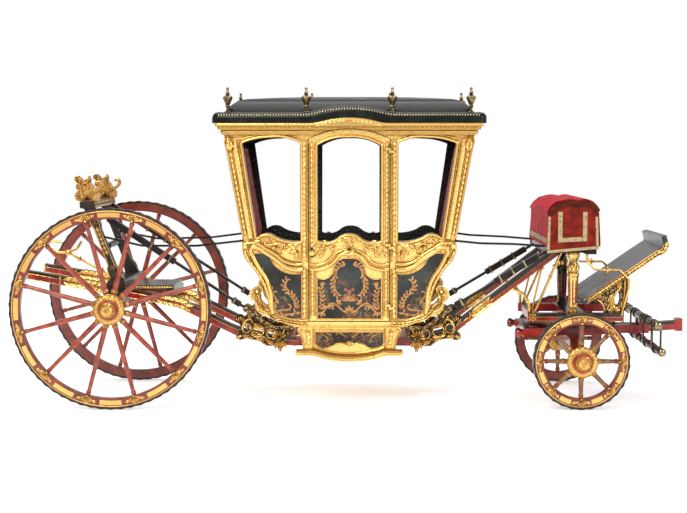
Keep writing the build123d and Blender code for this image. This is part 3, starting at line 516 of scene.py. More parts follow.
def unit(vectors: Array) -> Array:
    """Vectors divided by their lengths."""
    return vectors / np.maximum(np.linalg.norm(vectors, axis=-1, keepdims=True), 1e-12)


def tangents(path: Array, closed: bool = False) -> Array:
    """Unit tangents of a path: the mean of the directions to both neighbours.

    Args:
        path: points, shape (n, dimensions).
        closed: the path joins its ends.

    Returns:
        One unit tangent per point.
    """
    if closed:
        steps = unit(np.roll(path, -1, axis=0) - path)
        return unit(steps + np.roll(steps, 1, axis=0))
    steps = unit(np.diff(path, axis=0))
    return unit(np.concatenate([steps[:1], steps[:-1] + steps[1:], steps[-1:]]))


def thinned(path: Array, degrees: float = 3.0) -> Array:
    """Leave out points between which a path hardly turns.

    A point stays where the turn summed along the path passes a multiple of the angle, and so do both ends.

    Args:
        path: points, shape (n, dimensions).
        degrees: the angle.

    Returns:
        The points that stay.
    """
    steps = unit(np.diff(path, axis=0))
    turn = np.degrees(np.arccos(np.clip(np.sum(steps[1:] * steps[:-1], axis=1), -1.0, 1.0)))
    passed = np.floor(np.concatenate([[0.0], np.cumsum(turn)]) / degrees)
    return path[np.concatenate([[True], np.diff(passed) > 0, [True]])]


def carry(path: Array, up: Array, profile: Array, scale: Optional[Array] = None,
          closed: bool = False) -> Array:
    """Carry a profile along a path: point = path + profile_x * side + profile_y * up.

    Side is the cross product of the tangent and up, and up is squared to the tangent.

    Args:
        path: points, shape (n, 3).
        up: direction of the profile's height, shape (3,) or (n, 3).
        profile: outline, shape (m, 2), in metres.
        scale: width and height factors along the path, shape (n,) or (n, 2).
        closed: the path joins its ends.

    Returns:
        Grid of points, shape (n, m, 3), or (n + 1, m, 3) when closed.
    """
    along = tangents(path, closed)
    up = np.broadcast_to(up, path.shape)
    side = unit(np.cross(along, up))
    rise = unit(np.cross(side, along))
    size = np.ones((len(path), 2)) if scale is None else np.asarray(scale)
    size = np.stack([size, size], axis=1) if size.ndim == 1 else size
    grid = (path[:, None] + profile[None, :, 0, None] * (side * size[:, :1])[:, None]
            + profile[None, :, 1, None] * (rise * size[:, 1:])[:, None])
    return np.concatenate([grid, grid[:1]]) if closed else grid


def lathe(profile: Array, origin: Sequence[float], axis: Sequence[float], segments: int = 32) -> Array:
    """Turn a profile about an axis: point = origin + height * axis + radius * (cos, sin) about it.

    Args:
        profile: rows of radius and height.
        origin: foot of the axis.
        axis: its direction.
        segments: points round the turn.

    Returns:
        Grid of points, shape (rows, segments, 3).
    """
    profile = np.asarray(profile, float)
    axis = unit(np.asarray(axis, float))
    helper = Z if abs(axis[2]) < 0.9 else X
    first = unit(np.cross(axis, helper))
    second = np.cross(axis, first)
    turn = np.linspace(0.0, 2 * np.pi, segments, endpoint=False)
    ring = np.cos(turn)[:, None] * first + np.sin(turn)[:, None] * second
    radius, height = (profile[:, k, None, None] for k in (0, 1))
    return np.asarray(origin, float) + height * axis + radius * ring


def trace(*route: Sequence[float], step: float = 8.0) -> Array:
    """Evenly spaced points along lines and three-point arcs.

    Args:
        route: the first point, then rows of (x, y) for a line or (mid x, mid y, x, y) for an arc.
        step: distance between points.

    Returns:
        Points, shape (n, 2).
    """
    here = np.asarray(route[0], float)
    runs = [here[None]]
    for row in route[1:]:
        there = np.asarray(row[-2:], float)
        if len(row) == 2:
            count = max(2, int(np.ceil(np.linalg.norm(there - here) / step)))
            runs.append(here + np.linspace(0, 1, count + 1)[1:, None] * (there - here))
        else:
            mid = np.asarray(row[:2], float)
            a, b = mid - here, there - here
            bulk = 2 * (a[0] * b[1] - a[1] * b[0])
            centre = here + np.array([b[1] * (a @ a) - a[1] * (b @ b),
                                      a[0] * (b @ b) - b[0] * (a @ a)]) / bulk
            radius = np.linalg.norm(here - centre)
            angles = [np.arctan2(*(p - centre)[::-1]) for p in (here, mid, there)]
            span = (angles[2] - angles[0]) % (2 * np.pi)
            if (angles[1] - angles[0]) % (2 * np.pi) > span:
                span -= 2 * np.pi
            count = max(3, int(np.ceil(abs(span) * radius / step)))
            turn = angles[0] + np.linspace(0, 1, count + 1)[1:] * span
            runs.append(centre + radius * np.stack([np.cos(turn), np.sin(turn)], axis=1))
        here = there
    return np.concatenate(runs)


def loop(*route: Sequence[float], step: float = 8.0) -> Array:
    """Trace a route and return to its start, without giving the start twice."""
    return trace(*route, route[0], step=step)[:-1]


def ring_of(*route: Sequence[float]) -> Array:
    """Trace half of an outline from x = 0 to x = 0, and close it with its mirror image."""
    half = trace(*route)
    return np.concatenate([half, half[-2:0:-1] * [-1.0, 1.0]])


def circle(x: float, y: float, radius: float, points: int, first: float = 0.0, last: float = 360.0) -> Array:
    """Points of an arc about (x, y), without the last one when it is a full circle."""
    turn = np.radians(np.linspace(first, last, points, endpoint=last - first < 359.9))
    return np.stack([x + radius * np.cos(turn), y + radius * np.sin(turn)], axis=1)


def grown(path: Array, by: float, closed: bool = True) -> Array:
    """Move a path sideways, to the right of its direction: p + d n."""
    way = tangents(path, closed)
    return path + np.stack([way[:, 1], -way[:, 0]], axis=1) * by


def arc_length(path: Array) -> Array:
    """Distance along a path at each of its points."""
    return np.concatenate([[0], np.cumsum(np.linalg.norm(np.diff(path, axis=0), axis=1))])


def spaced(path: Array, pitch: float) -> tuple[Array, Array]:
    """Points at an even pitch along a path, with the directions there in degrees.

    Args:
        path: points, shape (n, 2).
        pitch: wanted distance; the real one divides the length evenly.

    Returns:
        Points and directions.
    """
    lengths = arc_length(path)
    count = max(1, int(round(lengths[-1] / pitch)))
    want = (np.arange(count) + 0.5) * lengths[-1] / count
    at, way = (np.stack([np.interp(want, lengths, rows[:, k]) for k in (0, 1)], axis=1)
               for rows in (path, tangents(path)))
    return at, np.degrees(np.arctan2(way[:, 1], way[:, 0]))


def flourish(x: float, y: float, heading: float, length: float, start_turn: float, end_turn: float,
             bend: float = 0.0, samples: int = 44) -> Array:
    """Scroll line that curls at its ends: the heading is a + S(1 - (1 - s)^4) + E s^4 + B s.

    Args:
        x: where it starts.
        y: where it starts.
        heading: first direction, in degrees.
        length: length of the line.
        start_turn: turn in the first curl, in degrees.
        end_turn: turn in the last curl.
        bend: even turn along the whole line.
        samples: number of points.

    Returns:
        Points, shape (samples, 2).
    """
    s = np.linspace(0, 1, samples)
    angle = np.radians(heading + start_turn * (1 - (1 - s) ** 4) + end_turn * s ** 4 + bend * s)
    step = np.stack([np.cos(angle), np.sin(angle)], axis=1) * length / (samples - 1)
    return np.array([x, y], float) + np.concatenate([[[0, 0]], np.cumsum((step[1:] + step[:-1]) / 2, axis=0)])


def half_round(width: float, height: float, points: int = 9, sink: float = 2.0) -> Array:
    """Half-round profile on a flat back, with x across and y up.

    Args:
        width: full width.
        height: rise of the crown.
        points: points on the arc.
        sink: depth of the flat back below the surface.

    Returns:
        Closed outline, shape (points + 2, 2).
    """
    turn = np.linspace(0.0, np.pi, points)
    arc = np.stack([width / 2 * np.cos(turn), height * np.sin(turn)], axis=1)
    return np.concatenate([arc, [[-width / 2, -sink], [width / 2, -sink]]])


def strip(width: float, height: float) -> Array:
    """Flat strip's profile, standing on the surface."""
    return np.array([[0.5, 0.0], [0.5, 1.0], [-0.5, 1.0], [-0.5, 0.0]]) * [width, height]


@dataclass(frozen=True)
class Plate:
    """A flat or leaning place that carving is laid on: origin, right, up and outward directions."""

    origin: Array
    right: Array
    up: Array
    out: Array

    def place(self, flat: Array) -> Array:
        """Points of the place: x along right, y along up, z outward.

        Args:
            flat: points in millimetres, shape (..., 3).

        Returns:
            Points in metres in the coach's frame.
        """
        x, y, z = np.split(flat, 3, axis=-1)
        return self.origin + (x * self.right + y * self.up + z * self.out) / MM


def leaf_form(length: float, width: float, height: float, lobes: int, rows: int, cols: int) -> Array:
    """Carved leaf with lobed edges: over v from -1 to 1 the height is h (1 - 0.75 v^2), less a midrib groove.

    The half width is w sin(pi u)^0.6 (1 + 0.22 cos(2 pi lobes u)), and the tip rises by 0.4 h.

    Args:
        length: length along x.
        width: full width.
        height: greatest rise.
        lobes: lobes along each edge.
        rows: points along.
        cols: points across the top.

    Returns:
        Closed grid, shape (rows, columns, 3).
    """
    u = np.linspace(0.0, 1.0, rows)[:, None]
    v = np.linspace(-1.0, 1.0, cols)[None]
    lobed = 1 + 0.22 * np.cos(2 * np.pi * lobes * u)
    half = width / 2 * np.sin(np.pi * np.clip(u, 0.02, 0.98)) ** 0.6 * lobed
    ribbed = 1 - 0.75 * v ** 2 - 0.45 * np.exp(-(v / 0.22) ** 2)
    rise = np.sin(np.pi * np.clip(u, 0.03, 0.97)) ** 0.5 * ribbed
    top = np.stack([u * length + 0 * v, half * v, height * (rise + 0.4 * u ** 3)], axis=-1)
    back = top[:, [-1, 0]]
    back[..., 2] = -BACK
    return np.concatenate([top, back], axis=1)


def shell_form(radius: float, height: float, ribs: int, spread: float) -> Array:
    """Scallop shell that fans about +x, with a flat back and a rim scalloped by its ribs.

    The height over radius r and angle a is h (0.35 + 0.65 sin(pi r)) (0.45 + 0.55 |cos(ribs a / 2)|).

    Args:
        radius: radius to the rim.
        height: greatest rise.
        ribs: number of ribs.
        spread: angle of the fan in degrees.

    Returns:
        Closed grid, shape (rows, columns, 3).
    """
    a = np.linspace(-1.0, 1.0, 43)[None]
    r = np.linspace(0.04, 1.0, 7)[:, None]
    rib = np.abs(np.cos(np.pi * ribs * a / 2))
    reach = radius * r * (0.86 + 0.14 * rib * r)
    angle = np.radians(spread / 2) * a
    rise = height * (0.35 + 0.65 * np.sin(np.pi * np.clip(r, 0.05, 0.92))) * (0.45 + 0.55 * rib)
    top = np.stack([reach * np.cos(angle), -reach * np.sin(angle), rise + 0 * a], axis=-1)
    back = top[:, ::-1].copy()
    back[..., 2] = -BACK
    return np.concatenate([top, back], axis=1)


def dome_form(radius: float, height: float, rows: int = 3, cols: int = 8) -> Array:
    """Low round stud: radius r cos(t), height h sin(t)."""
    t = np.linspace(0.0, np.pi / 2 * 0.98, rows)
    return lathe(np.stack([radius * np.cos(t), height * np.sin(t)], axis=1), (0, 0, 0), Z, cols)


@dataclass
class Carver:
    """Lays carved forms on a plate, in millimetres and degrees, and gathers them as clay."""

    plate: Plate
    clay: Clay
    sign: float = 1.0

    def form(self, form: Array, x: float = 0.0, y: float = 0.0, turn: float = 0.0, lift: float = 0.0) -> None:
        """Turn a closed form, shift it and lay it on the plate, mirrored where the sign is -1."""
        c, s = np.cos(np.radians(turn)), np.sin(np.radians(turn))
        flat = form @ np.array([[c, s, 0.0], [-s, c, 0.0], [0.0, 0.0, 1.0]]) + [x, y, lift]
        self.clay.put(self.plate.place(flat * [self.sign, 1.0, 1.0]))

    def moulding(self, path: Array, profile: Array, beads: float = 0.0, depth: float = 0.25,
                 closed: bool = False, lift: float = 0.0, taper: Optional[Array] = None) -> None:
        """Carry a moulding along a flat path, its height waved into beads.

        The height factor is 1 - d + d |sin(pi s / pitch)| at a distance s along the path.

        Args:
            path: points on the plate, shape (n, 2).
            profile: moulding's outline.
            beads: pitch of the beads, 0 for a plain run.
            depth: depth of the beads as a share of the height.
            closed: the path joins its ends.
            lift: height above the plate.
            taper: width factors along the path.
        """
        if not beads and taper is None:
            path = thinned(path)
        flat = np.concatenate([path * [self.sign, 1.0], np.full((len(path), 1), lift)], axis=1)
        size = np.ones((len(path), 2))
        if beads:
            wave = np.abs(np.sin(np.pi * arc_length(path) / beads))
            size = 1 - depth * (1 - wave[:, None]) * [0.3, 1.0]
        if taper is not None:
            size *= np.asarray(taper)[:, None]
        self.clay.put(carry(self.plate.place(flat), self.plate.out, profile / MM, size, closed),
                      caps=not closed)

    def rod(self, width: float, rise: float, path: Array, points: int = 9, **more: Any) -> None:
        """Carry a half-round moulding along a path, with more settings as moulding has them."""
        self.moulding(path, half_round(width, rise, points), **more)

    def scroll(self, x: float, y: float, heading: float, length: float, start_turn: float, end_turn: float,
               width: float, rise: float, lift: float = 0.0, bend: float = 0.0, samples: int = 44) -> None:
        """Carry a swelling half-round along a flourish, with a round eye at its last end.

        The width factor is 0.3 + 0.7 sin(pi s)^0.7 at a share s of the length.

        Args:
            x: where it starts.
            y: where it starts.
            heading: first direction.
            length: length of the line.
            start_turn: turn in the first curl.
            end_turn: turn in the last curl.
            width: greatest width.
            rise: greatest rise.
            lift: height above the plate.
            bend: even turn along the line.
            samples: points along the line.
        """
        line = flourish(x, y, heading, length, start_turn, end_turn, bend, samples)
        taper = 0.30 + 0.70 * np.sin(np.pi * (0.08 + 0.84 * np.linspace(0, 1, len(line)))) ** 0.7
        self.rod(width, rise, line, 7, lift=lift, taper=taper)
        self.form(dome_form(width * 0.55, rise * 1.15), *line[-1], lift=lift)

    def leaf(self, x: float, y: float, turn: float, length: float, width: float, rise: float, lobes: int = 3,
             lift: float = 0.0) -> None:
        """Lay one leaf, its foot at (x, y), with fewer points the smaller and flatter it is."""
        rows, cols = (7, 3) if rise < 2.0 else (9, 5) if length < 65.0 else (12, 7)
        self.form(leaf_form(length, width, rise, lobes, rows, cols), x, y, turn, lift)

    def scrolls(self, rows: Iterable[Sequence[float]], *rest: float) -> None:
        """Lay one scroll for each row, with the same last values for all."""
        for row in rows:
            self.scroll(*row, *rest)

    def leaves(self, rows: Iterable[Sequence[float]], *rest: float) -> None:
        """Lay one leaf for each row, with the same last values for all."""
        for row in rows:
            self.leaf(*row, *rest)

    def shell(self, x: float, y: float, turn: float, radius: float, rise: float, ribs: int = 7,
              spread: float = 190.0) -> None:
        """Lay one scallop shell, fanning along the given direction."""
        self.form(shell_form(radius, rise, ribs, spread), x, y, turn)

    def flower(self, x: float, y: float, radius: float, rise: float, petals: int = 6,
               turn: float = 0.0) -> None:
        """Lay a flower: petals round a boss."""
        for k in range(petals):
            self.leaf(x, y, turn + 360.0 * k / petals, radius, radius * 0.62, rise, 1)
        self.form(dome_form(radius * 0.28, rise * 1.3), x, y)

    def leaf_row(self, path: Array, pitch: float, length: float, width: float, rise: float,
                 turn: float = 0.0) -> None:
        """Lay a row of small leaves along a path, turned from its direction by a given angle."""
        for (x, y), way in zip(*spaced(path, pitch)):
            self.form(leaf_form(length, width, rise, 2, 7, 5), x, y, way + turn)


def carvers(plate: Plate, sign: float, *clays: Clay) -> list[Carver]:
    """One carver for each clay, on the same plate."""
    return [Carver(plate, clay, sign) for clay in clays]


# Plates on the coach, with millimetres of height above the ground as their y

def wall_plate(side: Side) -> Plate:
    """The cabin's side wall: x from the door's middle forward, y up the leaning face at real height."""
    s = side.value
    up = np.array([0.0, s * np.tan(TILT), 1.0])
    out = np.array([0.0, s * np.cos(TILT), -np.sin(TILT)])
    return Plate(np.array([BODY_X, s * 0.655, 1.400]) - up * 1.400, X, up, out)


def upright_plate(x: float, y: float, side: Side, facing: int = 1, z: float = 0.0) -> Plate:
    """Upright plane along the coach.

    Args:
        x: where its x axis starts.
        y: distance from the middle plane.
        side: the coach's side.
        facing: 1 to face outward, -1 to face the middle.
        z: where its y axis starts.

    Returns:
        The plate.
    """
    return Plate(np.array([x, side.value * y, z]), X, Z, side.value * facing * Y)


def cross_plate(x: float, end: End, slope: float = 0.0) -> Plate:
    """Plane across the coach that faces forward or backward and leans outward, from x at the ground."""
    e = float(end.value)
    return Plate(np.array([x, 0.0, 0.0]), e * Y, np.array([e * slope, 0.0, 1.0]),
                 unit(np.array([e, 0.0, -slope])))


# Cabin

@dataclass
class CabinSide:
    """Mouldings and carving of one side of the cabin, with its door."""

    side: Side

    DOOR_LIGHT = ((0, 1458), (50, 1452, 96, 1426), (150, 1396, 262, 1400), (262, 2190), (157, 2238, 0, 2256))
    QUARTER_LIGHT = ((408, 1396), (520, 1402, 610, 1432), (690, 1462, 770, 1428), (884, 2208),
                     (800, 2236, 650, 2254), (520, 2250, 408, 2210))
    QUARTER_POCKET = ((400, 742), (520, 748, 622, 800), (650, 930, 700, 1040), (760, 1150, 836, 1262),
                      (740, 1290, 640, 1205), (540, 1130, 400, 1120))
    DOOR_POCKET = ((0, 742), (265, 742), (265, 1080), (190, 1075, 130, 1150), (90, 1225, 0, 1245))

    def build(self) -> None:
        """Carve the wall and the door."""
        name, plate = self.side.name.lower(), wall_plate(self.side)
        for tag, body, carve in (("side", "carriage", self.quarter),
                                 ("door", f"{name}_door", self.half_door)):
            plain, rich = Clay(), Clay()
            for sign in BOTH_WAYS:
                carve(*carvers(plate, sign, plain, rich))
            if tag == "door":
                self.middle_door(*carvers(plate, 1.0, plain, rich))
            plain.object(f"{tag}_mouldings_{name}", GILT_PLAIN, body)
            rich.object(f"{tag}_carving_{name}", GILT, body)

    def quarter(self, plain: Carver, rich: Carver) -> None:
        """One quarter of the wall: window frame, waist mouldings, panel frame, pillars and their leaves."""
        light = loop(*self.QUARTER_LIGHT)
        plain.rod(24, 13, grown(light, 13), closed=True)
        rich.rod(10, 8, grown(light, 31), beads=14, depth=0.6, closed=True)
        upper = trace((872, 1372), (800, 1380, 700, 1331), (640, 1298, 596, 1268), (500, 1208, 390, 1205))
        plain.rod(30, 18, upper)
        lower = trace((812, 1345), (770, 1345, 720, 1312), (640, 1262, 553, 1193), (480, 1160, 390, 1160))
        plain.rod(46, 24, lower)
        plain.rod(7, 8, upper + [0, 24])
        plain.rod(38, 20, trace((812, 1345), (824, 1322, 806, 1270), (760, 1175, 712, 1105),
                                (668, 1000, 655, 900), (652, 840, 640, 782)))
        rich.rod(9, 6, grown(loop(*self.QUARTER_POCKET), 5), beads=12, depth=0.5, closed=True)
        edge = trace((876, 1318), (862, 1270, 836, 1222), (722, 1055, 664, 872))
        plain.rod(28, 17, edge, beads=46, depth=0.18)
        rich.leaf_row(grown(edge, 15, False), 40, 46, 20, 16, 30)
        rich.form(dome_form(26, 26), 868, 1350)
        self.pillar(plain, rich)
        self.corner(plain, rich)
        self.waist(rich)
        self.rail(plain, rich)

    def pillar(self, plain: Carver, rich: Carver) -> None:
        """Pillar between the doorway and the quarter window: two reeds and a climbing leaf."""
        for x in (352, 400):
            for low, high in ((705, 1158), (1220, 2205)):
                plain.rod(7, 9, trace((x, low), (x, high)))
        rich.leaf_row(trace((376, 1232), (376, 2200)), 44, 56, 34, 10)
        rich.leaf_row(trace((376, 715), (376, 1140)), 42, 52, 34, 10)

    def corner(self, plain: Carver, rich: Carver) -> None:
        """Slanted corner pillar: a broad round beside the window, leaves, a reed and a leafy bracket."""
        window, edge = np.array([[768, 1418], [890, 2248]]), np.array([[885, 1418], [1031, 2248]])
        broad, leafy, reed = (trace(*(window + share * (edge - window))) for share in (0.47, 0.80, 0.955))
        rich.rod(46, 20, broad)
        plain.rod(10, 10, reed, beads=26)
        rich.leaf_row(leafy, 46, 56, 30, 11)
        rich.leaves(((1000, 2262, 262, 115, 70), (984, 2262, 245, 70, 36), (1012, 2262, 280, 70, 36)),
                    24, 4, 8)
        rich.scroll(965, 2250, 250, 120, 20, -200, 16, 18)

    def waist(self, rich: Carver) -> None:
        """Field of leaves and scrolls between the window sill and the serpentine moulding."""
        rich.scrolls(((415, 1262, 20, 170, 60, -170, 20), (690, 1372, 200, 200, -40, 200, 18),
                      (860, 1395, 190, 150, 30, -160, 16), (520, 1330, 10, 150, 40, -190, 15)), 14)
        rich.leaves(((430, 1352, 8, 85, 40), (505, 1290, 160, 70, 34), (545, 1345, 30, 80, 36),
                     (560, 1290, 40, 75, 34), (640, 1340, 25, 80, 36), (640, 1390, 10, 75, 34),
                     (740, 1395, -10, 70, 34), (435, 1235, 70, 55, 30), (800, 1398, 175, 60, 30),
                     (470, 1375, 190, 50, 28), (600, 1300, 100, 50, 28), (700, 1350, 80, 50, 28)), 13)
        rich.flower(442, 1302, 26, 12)
        rich.flower(605, 1352, 22, 11, 5, 20)

    def rail(self, plain: Carver, rich: Carver) -> None:
        """Bottom rail: two reeds with leaves between, swept up to the corner."""
        upper = trace((352, 728), (480, 728, 560, 752), (620, 776, 660, 812))
        lower = trace((352, 686), (470, 690, 560, 712), (650, 742, 704, 800))
        plain.rod(11, 11, upper)
        plain.rod(13, 13, lower, beads=30, depth=0.2)
        share = np.linspace(0, len(lower) - 1, len(upper))
        even = np.stack([np.interp(share, np.arange(len(lower)), lower[:, k]) for k in (0, 1)], axis=1)
        rich.leaf_row((upper + even) / 2, 34, 40, 22, 9)

    def half_door(self, plain: Carver, rich: Carver) -> None:
        """One half of the door: stile, waist moulding and panel frame."""
        for x, low, high, rise in ((328, 1185, 2205, 8), (328, 740, 1140, 8), (284, 760, 1135, 9)):
            plain.rod(7, rise, trace((x, low), (x, high)))
        rich.leaf_row(trace((308, 745), (308, 1130)), 40, 48, 28, 9)
        rich.leaf_row(trace((312, 1232), (312, 2190)), 42, 52, 26, 9)
        plain.rod(22, 14, trace((330, 1206), (220, 1206, 165, 1243), (120, 1290, 62, 1316)))
        lower = trace((330, 1161), (230, 1161, 170, 1186), (130, 1222, 100, 1256), (60, 1288, 0, 1280))
        plain.rod(32, 14, lower)
        rich.scrolls(((300, 1262, 160, 150, -50, 190), (110, 1352, 10, 130, -30, 190),
                      (215, 1300, 60, 110, 50, -180)), 16, 12)
        rich.leaves(((290, 1365, 185, 70), (255, 1255, 140, 60), (205, 1358, 150, 60), (160, 1300, 130, 60),
                     (120, 1392, 160, 60), (60, 1420, 170, 50), (300, 1300, 100, 55), (170, 1370, 30, 60)),
                    30, 11)
        plain.rod(9, 8, trace((20, 738), (276, 738)))

    def middle_door(self, plain: Carver, rich: Carver) -> None:
        """What the door has once: its window frame, panel frame and centre shell."""
        plain.rod(22, 13, grown(ring_of(*self.DOOR_LIGHT), 12), closed=True)
        rich.rod(9, 6, grown(ring_of(*self.DOOR_POCKET), 5), beads=12, depth=0.5, closed=True)
        rich.shell(0, 1322, 90, 52, 16, 7, 200)
        rich.leaves(((0, 1322, turn, 55, 30, 14) for turn in (200, 340, 235, 305)))
        rich.leaves(((8, 1385, 28, 75, 32, 12), (-8, 1385, 152, 75, 32, 12)))


@dataclass(frozen=True)
class Brush:
    """Paints leaves, scrolls and blossoms on a dark panel, as thin strokes at a depth below the plate."""

    ochre: Carver
    rose: Carver
    depth: float = -6.0

    def garland(self, line: Array, pitch: float = 30.0) -> None:
        """Leaves to both sides of a line, and a blossom at every third pair."""
        for k, ((x, y), turn) in enumerate(zip(*spaced(line, pitch))):
            for lean in (-38.0, 38.0):
                self.ochre.leaf(x, y, turn + lean, 38, 19, STROKE, 1, self.depth)
            if k % 3 == 1:
                self.rose.form(dome_form(12, 2 * STROKE, 3, 9), x, y, lift=self.depth)

    def sprig(self, x: float, y: float, turns: Sequence[float], length: float = 45.0) -> None:
        """Leaves that fan out of one point."""
        self.ochre.leaves(((x, y, turn, length, 18, STROKE, 2, self.depth) for turn in turns))

    def curls(self, rows: Sequence[Sequence[float]], width: float, aside: tuple[float, float],
              leans: Sequence[float]) -> None:
        """Scrolls, each with a sprig aside of its start that leans from its heading."""
        for row in rows:
            self.ochre.scroll(*row, width, STROKE, self.depth)
            self.sprig(row[0] + aside[0], row[1] + aside[1], [row[2] + lean for lean in leans])

    def bouquet(self, rows: Sequence[tuple[float, float, float]]) -> None:
        """Blossoms of five petals each, from rows of x, y and radius."""
        for x, y, radius in rows:
            self.rose.leaves(((x, y, 72.0 * k + 18.0, radius, radius * 0.8, 1.4 * STROKE, 1, self.depth)
                              for k in range(5)))


@dataclass
class Brushwork:
    """Painted garlands, scrolls and blossoms on the dark panels of one side."""

    side: Side

    def build(self) -> None:
        """Paint the quarter panels, the valance and the door's panel."""
        name = self.side.name.lower()
        for tag, body, paint in (("quarter", "carriage", self.quarter), ("door", f"{name}_door", self.door)):
            ochre, rose = Clay(), Clay()
            for sign in BOTH_WAYS:
                paint(Brush(*carvers(wall_plate(self.side), sign, ochre, rose)))
            ochre.object(f"{tag}_brushwork_{name}", BRUSHWORK, body)
            rose.object(f"{tag}_blossoms_{name}", ROSE_BRUSHWORK, body)

    def quarter(self, brush: Brush) -> None:
        """Low scrolls, a climbing garland and a sprig under the upper corner; the valance's scrolls below."""
        brush.curls(((425, 775, 25, 200, -50, 210), (610, 800, 150, 160, 40, -190),
                     (600, 860, 100, 140, -60, 190)), 15, (30, 10), (-60, 50, 150))
        brush.garland(trace((440, 812), (455, 900, 500, 960), (545, 1010, 520, 1075)))
        brush.garland(trace((640, 960), (690, 1040, 742, 1150)), 36)
        brush.sprig(765, 1190, (60, 90, 240, 270), 34)
        brush.ochre.scrolls(((20, 582, 10, 120, 40, -200), (150, 592, 15, 120, 40, -200),
                             (250, 600, 170, 120, 40, 190)), 8, STROKE, brush.depth)

    def door(self, brush: Brush) -> None:
        """Half of the door's panel: hanging garland, low scrolls, a corner sprig and half of the bouquet."""
        brush.garland(trace((20, 1196), (95, 1180, 118, 1090), (135, 1000, 92, 930)))
        brush.garland(trace((245, 800), (225, 900, 240, 1000)), 36)
        brush.curls(((15, 785, 15, 220, 40, -210), (250, 775, 160, 160, -40, 190),
                     (120, 850, 20, 120, -50, 190)), 15, (-20, 20), (70, 120, 170))
        brush.sprig(0, 890, (90, 60, 30, 5), 60)
        brush.sprig(238, 1045, (200, 230, 260), 40)
        brush.bouquet(((0, 965, 24), (36, 935, 18), (30, 985, 15), (62, 905, 13)))


@dataclass(frozen=True)
class EndWall:
    """Carved frame and painted garlands of the cabin's upper front or rear wall."""

    end: End
    slope: float = 0.1767

    def build(self) -> None:
        """Carve the frame and paint the panel, from the middle both ways."""
        name = self.end.name.lower()
        plate = cross_plate(BODY_X + self.end.value * (0.885 - 1.420 * self.slope), self.end, self.slope)
        plain, rich, ochre, rose = Clay(), Clay(), Clay(), Clay()
        for sign in BOTH_WAYS:
            self.frame(*carvers(plate, sign, plain, rich))
            self.paint(Brush(*carvers(plate, sign, ochre, rose), 6.0))
        for clay, tag, finish in ((plain, "wall_mouldings", GILT_PLAIN), (rich, "wall_carving", GILT),
                                  (ochre, "brushwork", BRUSHWORK), (rose, "blossoms", ROSE_BRUSHWORK)):
            clay.object(f"{name}_{tag}", finish)

    def frame(self, plain: Carver, rich: Carver) -> None:
        """Half of the frame: beads, rows of leaves, an edge moulding, and leaves at the corners."""
        plain.rod(14, 10, trace((0, 1433), (527, 1433), (527, 2207), (0, 2207)), 7, beads=18, depth=0.5)
        for start, last in (((40, 1398), (560, 1398)), ((574, 1450), (600, 2190)),
                            ((110, 2240), (560, 2240))):
            rich.leaf_row(trace(start, last), 40, 46, 30, 10, 55)
        plain.rod(18, 10, trace((634, 1400), (690, 2250)), 7)
        for y, turn in ((1425, 145), (2215, 215)):
            rich.leaves(((560, y, turn - 45, 83, 50, 16), (560, y, turn, 110, 50, 16),
                         (560, y, turn + 45, 83, 50, 16)))
        rich.shell(0, 2212, 90, 62, 16)
        rich.scrolls(((50, 2215, -10, 160, 20, -230), (50, 2215, 20, 160, 20, 200)), 16, 10)

    def paint(self, brush: Brush) -> None:
        """Half of the panel's painting: a thin line, a garland, scrolls and a bouquet."""
        brush.ochre.moulding(trace((0, 1478), (482, 1478), (482, 2162), (0, 2162)),
                             half_round(6, 1.5, 5, 0.0), lift=brush.depth)
        brush.garland(trace((20, 2118), (170, 2080, 250, 1960), (330, 1840, 250, 1700)))
        brush.garland(trace((430, 1530), (455, 1700, 420, 1900), (400, 2010, 430, 2110)), 36)
        brush.curls(((20, 1520, 15, 320, 40, -210), (260, 1515, 20, 240, 40, 200),
                     (130, 1620, 30, 200, 40, 190)), 18, (20, 20), (70, 120, 170))
        brush.sprig(0, 1740, (90, 60, 30, 5), 80)
        brush.bouquet(((0, 1840, 36), (52, 1795, 28), (46, 1880, 24), (96, 1750, 20)))


@dataclass
class LockPlate:
    """Dark forged plate and its two studs on one door's stile."""

    side: Side

    def build(self) -> None:
        """Make the plate and its studs."""
        name = self.side.name.lower()
        carve = Carver(wall_plate(self.side), Clay())
        carve.rod(20, 4, trace((-310.5, 1262), (-310.5, 1338)), 7, lift=9)
        for (x, y), _ in zip(*spaced(trace((-310.5, 1266), (-310.5, 1334)), 34)):
            carve.form(dome_form(6, 12), x, y)
        carve.clay.object(f"lock_plate_{name}", IRON, f"{name}_door")


